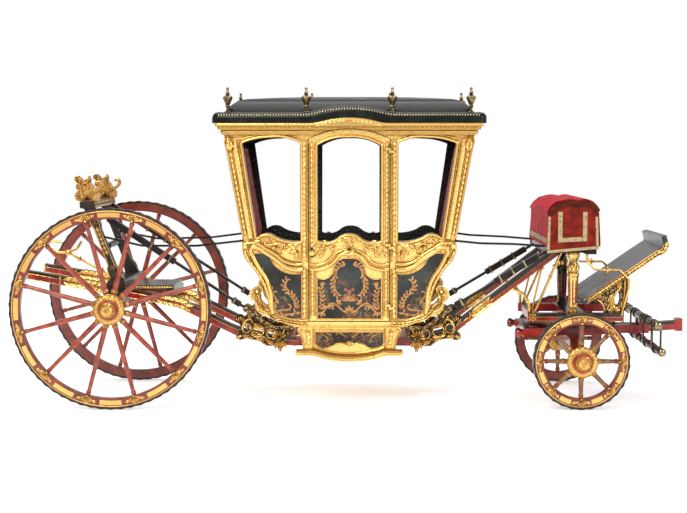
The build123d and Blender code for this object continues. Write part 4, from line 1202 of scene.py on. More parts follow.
@dataclass
class Cornice:
    """Carving of the cornice: leaf frieze, beads, and the hood mouldings over the doors and the windows."""

    def build(self) -> None:
        """Carve the four faces."""
        plain, rich = Clay(), Clay()
        for side in BOTH_SIDES:
            for sign in BOTH_WAYS:
                self.half_face(side, sign, plain, rich)
        for end in BOTH_ENDS:
            for reach, z, carve in ((1.085, 2334, self.frieze), (1.059, 2306, self.beads)):
                carve(Carver(cross_plate(BODY_X + end.value * reach, end), rich), trace((-740, z), (740, z)))
        plain.object("cornice_mouldings", GILT_PLAIN)
        rich.object("cornice_carving", GILT)

    def frieze(self, carve: Carver, path: Array) -> None:
        """Row of slanted leaves."""
        carve.leaf_row(path, 36, 40, 26, 9, 58)

    def beads(self, carve: Carver, path: Array) -> None:
        """Row of beads."""
        carve.rod(12, 7, path, 7, beads=15, depth=0.6)

    def half_face(self, side: Side, sign: float, plain: Clay, rich: Clay) -> None:
        """Carve one long face from the door's middle one way."""
        hood, front = carvers(upright_plate(BODY_X, 0.790, side), sign, plain, rich)
        along, across = np.linspace(0.0, 1085.0, 80), np.linspace(10.0, 250.0, 20)
        hood.rod(12, 3, np.stack([along, 2364 + arch(along, 332, 45)], axis=1), 7)
        front.leaf_row(np.stack([across, 2349 + arch(across, 332, 45)], axis=1), 34, 38, 16, 3)
        self.frieze(Carver(upright_plate(BODY_X, 0.768, side), rich, sign), trace((300, 2334), (1070, 2334)))
        self.beads(Carver(upright_plate(BODY_X, 0.742, side), rich, sign), trace((300, 2306), (1050, 2306)))
        wave = trace((350, 2232), (420, 2240, 520, 2264), (650, 2282, 800, 2270), (900, 2250, 985, 2238))
        Carver(wall_plate(side), plain, sign).rod(14, 10, wave, 7)


@dataclass
class Skirt:
    """Valance under one doorway: carved pilasters, panel frame and the moulded step."""

    side: Side

    def build(self) -> None:
        """Carve it."""
        plain, rich = Clay(), Clay()
        for sign in BOTH_WAYS:
            smooth, leafy = carvers(wall_plate(self.side), sign, plain, rich)
            leafy.leaf_row(trace((340, 486), (350, 600)), 40, 50, 40, 10)
            smooth.rod(9, 10, trace((304, 482), (302, 655)), 7)
            smooth.rod(9, 10, trace((384, 482), (390, 545, 402, 590), (424, 612, 424, 636)), 7)
            smooth.rod(18, 10, trace((0, 636), (296, 636)))
            edge = trace((0, 506), (80, 530, 150, 502), (205, 487, 288, 522), (288, 625))
            leafy.rod(7, 6, edge, 7, beads=12, depth=0.5)
            smooth.rod(20, 7, trace((0, 444), (160, 456, 292, 492)))
            smooth.rod(12, 9, trace((0, 672), (404, 672)), beads=24, depth=0.3)
            leafy.form(dome_form(18, 14), 408, 634)
            leafy.shell(352, 622, 90, 26, 12, 5, 170)
            Carver(upright_plate(BODY_X, 0.664, self.side), plain, sign).rod(
                12, 5, trace((0, 404), (160, 416, 296, 454), (440, 454)), 7)
        fan = Carver(wall_plate(self.side), rich)
        fan.leaves(((0, 516, turn, 34, 14, 6, 1) for turn in (30, 60, 90, 120, 150)))
        name = self.side.name.lower()
        plain.object(f"skirt_mouldings_{name}", GILT_PLAIN)
        rich.object(f"skirt_carving_{name}", GILT)


@dataclass
class CornerScrolls:
    """Carving on the scrolled brackets outside the cabin's lower corners."""

    def build(self) -> None:
        """Carve both faces of the four brackets."""
        rich = Clay()
        for side in BOTH_SIDES:
            for end in BOTH_ENDS:
                for y, facing in ((0.560, 1), (0.500, -1)):
                    self.bracket(Carver(upright_plate(BODY_X, y, side, facing), rich, float(end.value)))
        rich.object("corner_scroll_carving", GILT)

    def bracket(self, carve: Carver) -> None:
        """One face: a boss in a ring at the top, a stem with leaves, and a second boss below."""
        carve.rod(12, 12, circle(777, 962, 29, 28), closed=True)
        carve.form(dome_form(19, 20), 777, 962)
        carve.rod(22, 14, trace((798, 940), (806, 900, 786, 868), (752, 812, 690, 792)))
        carve.rod(14, 11, trace((765, 925), (758, 890, 740, 868), (708, 838, 670, 828)))
        carve.leaves(((772, 925, 250, 80), (775, 850, 215, 75), (735, 822, 195, 70), (770, 890, 110, 50)),
                     34, 16)
        carve.form(dome_form(16, 14), 764, 824)


# Wheels

@dataclass(frozen=True)
class WheelPaint(Lacquer):
    """Painted wheel: one lacquer on the spokes and another on the felloes beyond a radius."""

    centre: tuple[float, float] = (0.0, 0.0)
    felloe: float = 0.7
    rim_light: str = "8A3A26"
    rim_dark: str = "571F15"

    def paint(self, tree: bpy.types.NodeTree, where: Any) -> tuple[Any, ...]:
        """Spoke paint inside the felloe's radius, r^2 = (x - a)^2 + (z - b)^2, and rim paint outside it."""
        colour, rough, normal = super().paint(tree, where)
        flat = add(tree, "VectorMath", {0: where, 1: (1.0, 0.0, 1.0)}, "Vector", operation="MULTIPLY")
        reach = add(tree, "VectorMath", {0: flat, 1: (self.centre[0], 0.0, self.centre[1])}, "Value",
                    operation="DISTANCE")
        rim = add(tree, "Math", {0: reach, 1: self.felloe}, operation="GREATER_THAN")
        cloud = add(tree, "TexNoise", {"Vector": where, "Scale": MM / 90.0, "Detail": 5.0})
        field_colour = add(tree, "ValToRGB", {"Fac": cloud}, "Color",
                           stops=[(0.3, self.rim_dark), (0.68, self.rim_light)])
        return add(tree, "Mix", {0: rim, 6: colour, 7: field_colour}, 2, data_type="RGBA"), rough, normal


@dataclass
class Wheel:
    """Gilding of one wheel: rim line, shells over the spokes, plates between them, collars and hub bands.

    The radius is in millimetres, the two places in metres.
    """

    end: End
    side: Side
    axle_x: float
    radius: float
    face_y: float
    spokes: int

    PLATE = np.array([[21, -2], [21, 0], [18, 3], [-18, 3], [-21, 0], [-21, -2]])
    COLLAR = np.array([[-4, -12], [1.5, -12], [6, -6], [3, 0], [6, 6], [1.5, 12], [-4, 12]])
    NAVE = np.array([[82, 62], [85, 64.2], [76.5, 78], [69.5, 86], [67.5, 100], [64, 110], [60, 108],
                     [64, 80]])

    def plate(self, out: float = 0.0) -> Plate:
        """Upright plane round the wheel's middle, a distance in millimetres outside the rim's face."""
        return upright_plate(self.axle_x, self.face_y + out / MM, self.side, z=self.radius / MM)

    def build(self) -> None:
        """Lay the gilding."""
        tag = f"{self.end.name.lower()}_{self.side.name.lower()}"
        gold, pale, red = Clay(), Clay(), Clay()
        rim, plates = carvers(self.plate(), 1.0, gold, pale)
        outer, inner = self.radius - 21, self.radius - 95
        middle, step = (outer + inner) / 2, 360.0 / self.spokes
        first, spread, share = (0.5, 150.0, 0.225) if self.end is End.REAR else (0.0, 130.0, 0.180)
        plates.rod(9, 5, circle(0, 0, outer - 7, 96), 7, closed=True)
        for turn in 90.0 + step * (np.arange(self.spokes) + first):
            way = np.array([np.cos(np.radians(turn)), np.sin(np.radians(turn))])
            foot = way * (inner + 6)
            rim.shell(*foot, turn, 56, 9, 7, spread)
            for lean in (-1, 1):
                aside = np.radians(turn) + lean * 40.0 / middle
                rim.leaf(middle * np.cos(aside), middle * np.sin(aside), turn + lean * 90.0, 45, 24, 6, 2)
            rim.form(dome_form(11, 10), *foot)
            centre = turn + step / 2
            plates.moulding(circle(0, 0, middle, 18, centre - share * step, centre + share * step),
                            self.PLATE)
            self.collars(gold, red, way)
        self.hub(gold, red)
        gold.object(f"wheel_carving_{tag}", GILT_WHEEL, tag)
        pale.object(f"wheel_plates_{tag}", GILT_PALE, tag)
        red.object(f"hub_band_{tag}", SPOKE_WOOD, tag)

    def collars(self, gold: Clay, red: Clay, way: Array) -> None:
        """Turned collars on one spoke: gold at its foot, painted at its head."""
        axis = np.array([way[0], 0.0, way[1]])
        inner = self.radius - 95
        for clay, reach in ((gold, 150), (red, inner - 22)):
            spoke = np.interp(reach, [84, inner + 4], [24, 16])
            clay.put(lathe((self.COLLAR + [spoke, 0]) / MM, self.plate(-35).origin + axis * reach / MM, axis,
                           20))

    def hub(self, gold: Clay, red: Clay) -> None:
        """Leaf ring on the flange, red band inside it, and a spiral boss on the nose."""
        base = self.plate()
        grid = lathe(self.NAVE / MM, base.origin, base.out, 48)
        red.put(np.concatenate([grid, grid[:1]]), caps=False)
        for cos, sin in circle(0, 0, 1, 20):
            way = cos * X + sin * Z
            spot = Plate(base.origin + (87 * way + 61.5 * base.out) / MM, unit(way * 41.0 - base.out * 14.0),
                         np.cross(base.out, way), unit(way * 14.0 + base.out * 41.0))
            gold.put(spot.place(leaf_form(38, 27, 5, 2, 8, 7)))
        Carver(self.plate(61.5), gold).rod(6, 5, circle(0, 0, 85.5, 96), 7, beads=9, depth=0.5, closed=True)
        Carver(self.plate(48), gold).rod(7, 6, circle(0, 0, 126.5, 96), 7, beads=11, depth=0.5, closed=True)
        Carver(self.plate(159), gold).scroll(26, 0, 90, 150, 0, 300, 9, 5, bend=400, samples=60)
        front = Carver(self.plate(128), gold)
        for k, (x, y) in enumerate(circle(0, 0, 46, 8)):
            front.leaf(x, y, 45.0 * k, 14, 18, 3, 1)


def four_wheels() -> list[Wheel]:
    """The coach's wheels: each end's axle, radius, rim face and number of spokes."""
    sizes = {End.REAR: (-2.0245, 840, 0.840, 12), End.FRONT: (1.8815, 405, 0.800, 8)}
    return [Wheel(end, side, *sizes[end]) for end in BOTH_ENDS for side in BOTH_SIDES]


# Soft goods

@dataclass
class Upholstery:
    """Seat cushions and wall squabs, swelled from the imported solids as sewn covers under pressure.

    The tufts form a diamond net: a row every 0.62 pitches, and each second row half a pitch aside.
    """

    inset: float = 0.007
    cap: float = 0.013
    pressure: float = 4.0
    pitch: float = 0.165
    row_share: float = 0.62
    first_row: float = 1.300
    half_width: float = 0.52

    def build(self) -> None:
        """Make both, then tuft and button the squabs."""
        self.puff("seat_cushions", "stuffed_cushions", 0.014)
        squabs = self.puff("wall_squabs", "tufted_squabs", 0.015)
        spots = self.tuft(squabs)
        squabs.data.update()
        tree, clay = skin("tufted_squabs"), Clay()
        for end in BOTH_ENDS:
            for y, z in spots:
                spot = spot_on(tree, (BODY_X, y, z), (float(end.value), 0.0, 0.0))
                if spot:
                    clay.put(spot.place(dome_form(10, 7)))
        clay.object("squab_buttons", ROSE_VELVET)

    def puff(self, node: str, name: str, voxel: float) -> bpy.types.Object:
        """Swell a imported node's solids: draw them in, remesh, and let pressure push them out up to the cap.

        Args:
            node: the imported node.
            name: the new object's name.
            voxel: size of the new faces.

        Returns:
            The new object, which replaces the node.
        """
        source = next(o for o in bpy.data.objects if o.type == "MESH" and o.name.split(".")[0] == node)
        shape = bmesh.new()
        shape.from_mesh(source.data)
        bmesh.ops.remove_doubles(shape, verts=shape.verts, dist=0.0001)
        shape.normal_update()
        for vert in shape.verts:
            vert.co -= vert.normal * self.inset
        mesh = bpy.data.meshes.new(name)
        shape.to_mesh(mesh)
        shape.free()
        made = bpy.data.objects.new(name, mesh)
        scene = bpy.context.scene
        scene.collection.objects.link(made)
        grain = made.modifiers.new("grain", "REMESH")
        grain.mode = "VOXEL"
        grain.voxel_size = voxel
        made.data = self.applied(made)
        made.modifiers.clear()
        before = self.points(made.data)
        cloth = made.modifiers.new("cloth", "CLOTH").settings
        cloth.use_pressure = True
        cloth.uniform_pressure_force = self.pressure
        cloth.effector_weights.gravity = 0.0
        for tick in range(1, 21):
            scene.frame_set(tick)
        moved = self.points(self.applied(made)) - before
        reach = np.linalg.norm(moved, axis=1, keepdims=True)
        moved *= np.minimum(1.0, self.cap / np.maximum(reach, 1e-9))
        made.data.vertices.foreach_set("co", (before + moved).ravel())
        scene.frame_set(1)
        made.modifiers.clear()
        made.data.materials.clear()
        made.data.materials.append(ROSE_VELVET.material())
        made.data.shade_smooth()
        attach(made, "carriage")
        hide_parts(node)
        log.info("%s: %d faces", name, len(made.data.polygons))
        return made

    def applied(self, made: bpy.types.Object) -> bpy.types.Mesh:
        """Mesh of an object with its modifiers worked out."""
        return bpy.data.meshes.new_from_object(made.evaluated_get(bpy.context.evaluated_depsgraph_get()))

    def points(self, mesh: bpy.types.Mesh) -> Array:
        """Vertex places, shape (n, 3)."""
        flat = np.empty(len(mesh.vertices) * 3)
        mesh.vertices.foreach_get("co", flat)
        return flat.reshape(-1, 3)

    def tuft(self, made: bpy.types.Object) -> list[tuple[float, float]]:
        """Draw the room face in at the net's spots: depth = 14 mm exp(-(r / 26 mm)^2) + 4 mm at the folds.

        Args:
            made: the squabs.

        Returns:
            The spots, as y and z.
        """
        p = self.points(made.data)
        spots = [((col + (row % 2) / 2) * self.pitch, self.first_row + row * self.pitch * self.row_share)
                 for row in range(9) for col in range(-3, 4)]
        spots = [(y, z) for y, z in spots if abs(y) < self.half_width]
        normal = np.array([v.normal[:] for v in made.data.vertices])
        away = np.sign(p[:, 0] - BODY_X)
        faces_room = np.clip(-normal[:, 0] * away * 2 - 0.6, 0, 1)
        gap = np.min([np.hypot(p[:, 1] - y, p[:, 2] - z) for y, z in spots], axis=0)
        across, up = p[:, 1] / self.pitch, (p[:, 2] - self.first_row) / (2 * self.row_share * self.pitch)
        crease = np.minimum(*(np.abs(np.sin(np.pi * (across + way * up))) for way in (1, -1)))
        depth = 0.014 * np.exp(-(gap / 0.026) ** 2) + 0.004 * np.exp(-(crease / 0.16) ** 2)
        p[:, 0] += away * depth * faces_room
        made.data.vertices.foreach_set("co", p.ravel())
        return spots


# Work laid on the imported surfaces

def skin(*nodes: str) -> BVHTree:
    """Search tree over the faces of the named nodes."""
    points, faces = [], []
    for made in bpy.data.objects:
        if made.type == "MESH" and made.name.split(".")[0] in nodes:
            start = len(points)
            points += [made.matrix_world @ v.co for v in made.data.vertices]
            faces += [[start + i for i in face.vertices] for face in made.data.polygons]
    return BVHTree.FromPolygons(points, faces)


def spot_on(tree: BVHTree, start: Sequence[float], way: Sequence[float]) -> Optional[Plate]:
    """Plate where a ray meets a surface, with its outward direction along the surface's normal.

    Args:
        tree: the surface.
        start: where the ray starts.
        way: its direction.

    Returns:
        The plate, or None when the ray misses.
    """
    hit, normal, _, _ = tree.ray_cast(Vector(start), Vector(way))
    if hit is None:
        return None
    out = np.array(normal)
    out = out if out @ np.asarray(way) < 0 else -out
    right = X - out[0] * out
    right = unit(right) if np.linalg.norm(right) > 0.1 else unit(np.cross(Z, out))
    return Plate(np.array(hit), right, np.cross(out, right), out)


def arch(x: Array, half: float, rise: float, join: float = 0.69) -> Array:
    """Height of an arch that sweeps up from level tails, in two arcs that meet at join * half.

    With S = (half^2 + rise^2) / 2 rise, the crown is rise - R + sqrt(R^2 - x^2) with R = S join, and each
    tail is r - sqrt(r^2 - (half - |x|)^2) with r = S - R.

    Args:
        x: distances from the middle.
        half: half width.
        rise: height at the middle.
        join: where the arcs meet, as a share of the half width.

    Returns:
        The heights, 0 outside the arch.
    """
    away = np.minimum(np.abs(x), half)
    total = (half ** 2 + rise ** 2) / (2 * rise)
    big, small = total * join, total * (1 - join)
    crown = rise - big + np.sqrt(big ** 2 - np.minimum(away, half * join) ** 2)
    tail = small - np.sqrt(np.maximum(small ** 2 - (half - np.maximum(away, half * join)) ** 2, 0.0))
    return np.where(away < half * join, crown, tail)


@dataclass
class Roof:
    """Two rows of brass nails round the roof's edge: one on the rolled lip and one on the ledge behind it."""

    lip_z: float = 2.441
    ledge: tuple[float, float] = (1.076, 0.735)
    pitch: float = 0.0225
    above: float = 3.0

    def build(self) -> None:
        """Drive the nails."""
        tree, clay = skin("roof"), Clay()
        down = (0.0, 0.0, -1.0)
        rows: list[tuple[tuple[float, ...], tuple[float, ...]]] = []
        for s in (side.value for side in BOTH_SIDES):
            for x in np.arange(-1.072, 1.073, self.pitch):
                up = float(arch(np.array(x), 0.400, 0.050))
                rows.append(((BODY_X + x, s * 1.2, self.lip_z + up), (0.0, -s, 0.0)))
                if abs(x) < self.ledge[0]:
                    rows.append(((BODY_X + x, s * self.ledge[1], self.above), down))
        for e in (end.value for end in BOTH_ENDS):
            for y in np.arange(-0.7315, 0.732, self.pitch):
                rows.append(((BODY_X + e * 1.5, y, self.lip_z), (-e, 0.0, 0.0)))
                rows.append(((BODY_X + e * self.ledge[0], y, self.above), down))
        for start, way in rows:
            spot = spot_on(tree, start, way)
            if spot:
                clay.put(spot.place(dome_form(6.5, 5, 3, 7)))
        clay.object("roof_nails", NAILS)


# Carriage

@dataclass
class Perches:
    """Leaf carving on the perches, and the carved consoles under the cabin."""

    ROUTE = np.array(((-2810, 1090), (-2024.5, 958), (-1500, 845), (-1000, 600), (-640, 520), (500, 520),
                      (800, 600), (1740, 1315)))
    LEAFY = ((-2520, -2200), (-1720, -1440), (-980, -800), (980, 1120))

    def height(self, x: Array) -> Array:
        """Height of a perch's middle line."""
        return np.interp(x, self.ROUTE[:, 0], self.ROUTE[:, 1])

    def smooth_line(self, first: float, last: float, count: int = 160, reach: int = 6) -> Array:
        """Middle of a perch with its bends eased: each point is the mean of those within the reach."""
        x, pitch = np.linspace(first, last, count, retstep=True)
        wide = np.linspace(first - reach * pitch, last + reach * pitch, count + 2 * reach)
        z = np.convolve(self.height(wide), np.full(2 * reach + 1, 1 / (2 * reach + 1)), "valid")
        low, high = np.polyfit(x[:20], z[:20], 1), np.polyfit(x[-20:], z[-20:], 1)
        z[:reach], z[-reach:] = np.polyval(low, x[:reach]), np.polyval(high, x[-reach:])
        return np.stack([x, z], axis=1)

    def build(self) -> None:
        """Carve both perches."""
        rich, dark, black, gold = Clay(), Clay(), Clay(), Clay()
        for side in BOTH_SIDES:
            for y, facing in ((0.395, 1), (0.325, -1)):
                self.face(*carvers(upright_plate(0.0, y, side, facing), 1.0, rich, black, gold))
            for end in BOTH_ENDS:
                self.console(side, end, rich, dark)
        black.object("perch_bands", DARK_WOOD)
        gold.object("perch_lines", GILT_PLAIN)
        rich.object("perch_carving", GILT)
        dark.object("console_carving", GILT_SMOKED)

    def face(self, carve: Carver, black: Carver, gold: Carver) -> None:
        """Black band, gold lines, an end bead and runs of leaves on one face of a perch."""
        for first, last, width in ((-2800, -500, 24), (480, 1700, 36)):
            way = self.smooth_line(first, last)
            black.moulding(grown(way, width / 2 - 37, False), strip(width, 1.6))
            for off in (width - 35, 34):
                gold.rod(5, 3, grown(way, off, False), 5)
        carve.rod(16, 10, np.array([[-2802, 1052], [-2802, 1128]]), 7)
        for first, last in self.LEAFY:
            x = np.linspace(first, last, 24)
            line = np.stack([x, self.height(x)], axis=1)
            for lean in (1, -1):
                carve.leaf_row(line + [0, lean * 12], 50, 85, 34, 13, lean * 16)
            for at in (line[0], line[-1]):
                carve.rod(16, 14, at + np.array([[0, -36], [0, 36]]), 7)

    def console(self, side: Side, end: End, rich: Clay, dark: Clay) -> None:
        """Scrolls, shells, rings and leaf drops on one console."""
        origin = 0.0 if end is End.FRONT else -0.110
        edge, body = carvers(upright_plate(origin, 0.445, side), float(end.value), dark, rich)
        rim = trace((530, 436), (488, 505, 470, 548), (452, 600, 500, 628), (545, 700, 610, 668),
                    (650, 735, 720, 700), (770, 760, 835, 735), (905, 742, 905, 690), (868, 655, 872, 612),
                    (900, 560, 852, 540), (760, 548, 690, 520), (640, 488, 560, 500),
                    (548, 470, 530, 436))[:-1]
        edge.rod(20, 16, grown(rim, 9), beads=34, depth=0.45, closed=True)
        for x, y, radius in ((600, 590, 40), (712, 618, 48), (812, 640, 40)):
            body.rod(12, 14, circle(x, y, radius, 30), beads=16, depth=0.5, closed=True)
        body.shell(535, 560, 75, 60, 26, 7, 200)
        body.shell(862, 690, 120, 46, 22, 7, 200)
        body.leaves(((530, 520, 262, 85), (515, 530, 235, 65), (548, 525, 290, 65), (650, 530, 200, 80),
                     (660, 535, 20, 85), (770, 560, 10, 85), (640, 660, 60, 70), (690, 680, 120, 60),
                     (770, 700, 60, 60), (850, 580, 330, 60), (560, 640, 150, 60), (760, 680, 200, 70)),
                    40, 20)
        body.scrolls(((840, 610, 60, 180, 60, 170), (500, 600, 120, 150, -40, -190),
                      (660, 560, 30, 140, -40, 180)), 24, 22)


@dataclass
class DriverSeat:
    """Velvet cover of the driver's seat, in metres, with its braid, in millimetres."""

    half: float = 0.640

    BRAIDS = ((36, (1712, 1640), (1712, 1422)), (36, (1918, 1640), (1918, 1434)),
              (36, (1694, 1403), (1936, 1415)), (22, (1622, 1600), (1614, 1322)),
              (22, (2014, 1600), (2022, 1358)), (24, (1604, 1306), (2034, 1344)))

    def build(self) -> None:
        """Lay the cover, its sides and the braid."""
        rim = trace((1600, 1352), (1612, 1640), (1700, 1722, 1860, 1732), (1990, 1718, 2028, 1668),
                    (2040, 1352), step=14) / MM
        y = np.linspace(-self.half - 0.004, self.half + 0.004, 97)
        s = arc_length(rim)
        way = tangents(rim)
        out = np.stack([-way[:, 1], way[:, 0]], axis=1)
        u, v = np.meshgrid(s / s[-1], y, indexing="ij")
        drape = 0.005 * np.sin(v * 23.0 + 2.2 * np.sin(u * 5.0)) * (1 - np.exp(-((u - 0.5) / 0.28) ** 2))
        roll = 0.010 * np.exp(-((u - 0.30) / 0.05) ** 2) + 0.006 * np.exp(-((u - 0.36) / 0.02) ** 2)
        soft = 0.004 + np.maximum(drape + roll, -0.002)
        sheets = [rim[:, None] + out[:, None] * (soft - under)[..., None] for under in (0.0, 0.003)]
        top, low = (np.stack([sheet[..., 0], v, sheet[..., 1]], axis=-1) for sheet in sheets)
        clay = Clay()
        clay.put(np.concatenate([top, low[:, ::-1]], axis=1))
        cover = clay.object("seat_cover", RED_VELVET)
        self.borders(rim, top, out)
        for side in BOTH_SIDES:
            self.flank(side, rim)

    def borders(self, rim: Array, top: Array, out: Array) -> None:
        """Braid across the foot of the cover's back and of its front.

        Args:
            rim: the cover's outline in side view.
            top: its outer surface.
            out: outward directions along the outline.
        """
        clay = Clay()
        lift = np.stack([out[:, 0], np.zeros(len(out)), out[:, 1]], axis=1)[:, None] * 0.002
        height = (rim[:, 1] > 1.375) & (rim[:, 1] < 1.425)
        for half in (rim[:, 0] < 1.8, rim[:, 0] > 1.8):
            rows = np.flatnonzero(height & half)
            clay.put(np.concatenate([top[rows] + lift[rows], top[rows][::-1]], axis=0).transpose(1, 0, 2))
        clay.object("seat_border", BRAID)

    def flank(self, side: Side, rim: Array) -> None:
        """Cloth on one end of the seat, with the braid's outer border, inner frame and foot binding."""
        name = side.name.lower()
        plate = upright_plate(0.0, self.half, side)
        x, share = np.linspace(1.602, 2.036, 44), np.linspace(0, 1, 30)
        rim = rim[np.argsort(rim[:, 0])]
        crown = np.interp(x, rim[:, 0], rim[:, 1]) - 0.004
        foot = np.interp(x, [1.602, 2.036], [1.292, 1.330])
        z = foot[:, None] + share * (crown - foot)[:, None]
        wave = 0.003 + 0.0025 * np.sin(18.0 * x)[:, None] * (1 - share) ** 2
        front, back = (np.stack([x[:, None] + 0 * z, z, wave + thick], axis=-1) for thick in (0.003, 0.0))
        clay, braid, brown = Clay(), Clay(), Clay()
        clay.put(plate.place(MM * np.concatenate([front, back[:, ::-1]], axis=1)))
        # the sides' darker velvet is painted shade
        cloth = clay.object(f"seat_flank_{name}", SHADED_FLANK_VELVET)
        for width, *route in self.BRAIDS:
            Carver(plate, braid).moulding(trace(*route), strip(width, 3), lift=7.8)
        arc_line = trace((1616, 1615), (1700, 1690, 1862, 1698), (1980, 1690, 2020, 1640), step=10)
        Carver(plate, brown).moulding(arc_line, strip(52, 3), lift=7.8)
        trim = braid.object(f"seat_braid_{name}", BRAID)
        arc = brown.object(f"seat_arc_{name}", BROWN_VELVET)


KNOB = np.array([[0, -34], [13, -30], [17, -16], [30, -6], [30, 6], [17, 16], [13, 30], [0, 34]])
STAY_KNOB = np.array([[0, -30], [12, -26], [16, -14], [30, -6], [30, 6], [16, 14], [12, 26], [0, 30]])


@dataclass
class FrontWork:
    """Gilding of the footboard, its brackets, the columns, the splinter bar and the fore carriage."""

    CONSOLE = (((2120, 790), (2100, 850, 2060, 885)), ((2270, 800), (2285, 900, 2290, 1080)),
               ((2140, 800), (2190, 900, 2262, 1000)))
    STAYS = ((1.0, (2.135, 0.470, 1.143), (1.0, 0.0, 0.0)),
             (0.75, (1.700, 0.412, 1.168), (0.396, 0.0, 0.918)),
             (0.65, (1.662, 0.412, 1.080), (0.396, 0.0, 0.918)),
             (0.60, (1.598, 0.360, 1.150), (0.222, 0.0, 0.975)))
    BAND = np.array([[0, -16], [37, -16], [42, -8], [42, 8], [37, 16], [0, 16]])
    CAP = np.array([[0, -3], [23, -3], [23.5, 2], [17, 6], [0, 7]])

    def build(self) -> None:
        """Carve it."""
        plain, rich, red = Clay(), Clay(), Clay()
        for side in BOTH_SIDES:
            smooth, leafy = carvers(upright_plate(0.0, 0.450, side), 1.0, plain, rich)
            route = trace((1960, 870), (2560, 1282), (2620, 1318, 2630, 1350))
            for off in (19, -19):
                smooth.rod(8, 8, grown(route, off, False), 7)
            leafy.leaf_row(route, 34, 42, 28, 10)
            smooth, leafy = carvers(upright_plate(0.0, 0.436, side), 1.0, plain, rich)
            for route in self.CONSOLE:
                smooth.rod(16, 12, trace(*route))
            leafy.leaves(((2150, 860, 60, 90), (2180, 800, 80, 90), (2100, 900, 150, 70), (2230, 980, 70, 80),
                          (2280, 800, 95, 80)), 40, 16)
            leafy.shell(2200, 785, 90, 50, 18, 5, 180)
            for size, (x, y, z), way in self.STAYS:
                plain.put(lathe(STAY_KNOB * size / MM, (x, side.value * y, z), way, 20))
            self.column(side, rich, red)
        red.object("column_flutes", RED_WOOD)
        self.beams()
        self.pole_bands()
        plain.object("front_mouldings", GILT_PLAIN)
        rich.object("front_carving", GILT)
        self.splinter_bands()

    def splinter_bands(self) -> None:
        """Bands on the splinter bar, and the caps of the bar and the swingletrees."""
        fore = Clay()
        for y in (-0.755, -0.60, -0.20, 0.20, 0.60, 0.755):
            fore.put(lathe(self.BAND / MM, (2.510, y, 0.700), Y, 28))
        for y, z, size, facing in ((0.790, 0.700, 1.22, 1), (0.970, 0.505, 1.0, 1), (0.050, 0.505, 1.0, -1)):
            for s in BOTH_WAYS:
                fore.put(lathe(self.CAP * size / MM, (2.510, s * y, z), s * facing * Y, 24))
        fore.object("splinter_bands", BRASS, "fore_carriage")

    def pole_bands(self) -> None:
        """Black band along each face of the pole."""
        black = Clay()
        for side in BOTH_SIDES:
            Carver(upright_plate(0.0, 0.046, side), black).rod(
                26, 2, np.array([[2570, 631], [2680, 639], [2790, 646.5]]), 5)
        black.object("pole_bands", DARK_WOOD, "fore_carriage")

    def beams(self) -> None:
        """Black upper edge, gold lines and a rosette on the upper carriage's side beams."""
        black, gold = Clay(), Clay()
        for side in BOTH_SIDES:
            dark, bright = carvers(upright_plate(0.0, 0.435, side), 1.0, black, gold)
            dark.moulding(trace((1474, 754), (2282, 754)), strip(30, 1.6))
            for y in (737, 703):
                bright.rod(5, 3, trace((1474, y), (2282, y)), 5)
            bright.flower(1512, 735, 38, 16, 8)
        black.object("upper_bands", DARK_WOOD)
        gold.object("upper_lines", GILT_PLAIN)

    def column(self, side: Side, rich: Clay, red: Clay) -> None:
        """Red flutes round the lower shaft of one column, and leaves below its ring and under its capital."""
        foot = np.array([1.8615, side.value * 0.360, 0.0])
        heights = np.linspace(0.835, 1.055, 12)
        radii = np.interp(heights, [0.816, 1.070], [0.038, 0.046])
        taper = 1.0 - np.abs(np.linspace(-1, 1, 12)) ** 6 * 0.9
        for a in 2 * np.pi * np.arange(10) / 10 + 0.15:
            way = np.cos(a) * X + np.sin(a) * Y
            red.put(carry(foot + way * radii[:, None] + Z * heights[:, None], way,
                          half_round(11, 2.5, 5) / MM, taper))
        for height, radius, lean, length, width in ((1.112, 0.040, 10, 60, 30), (1.222, 0.038, 14, 52, 30)):
            for cos, sin in circle(0, 0, 1, 8):
                way = cos * X + sin * Y
                up = unit(Z * length + way * lean)
                plate = Plate(foot + way * radius + Z * height, up, np.cross(way, up),
                              unit(way - up * (way @ up)))
                rich.put(plate.place(leaf_form(length, width, 8, 3, 8, 7)))


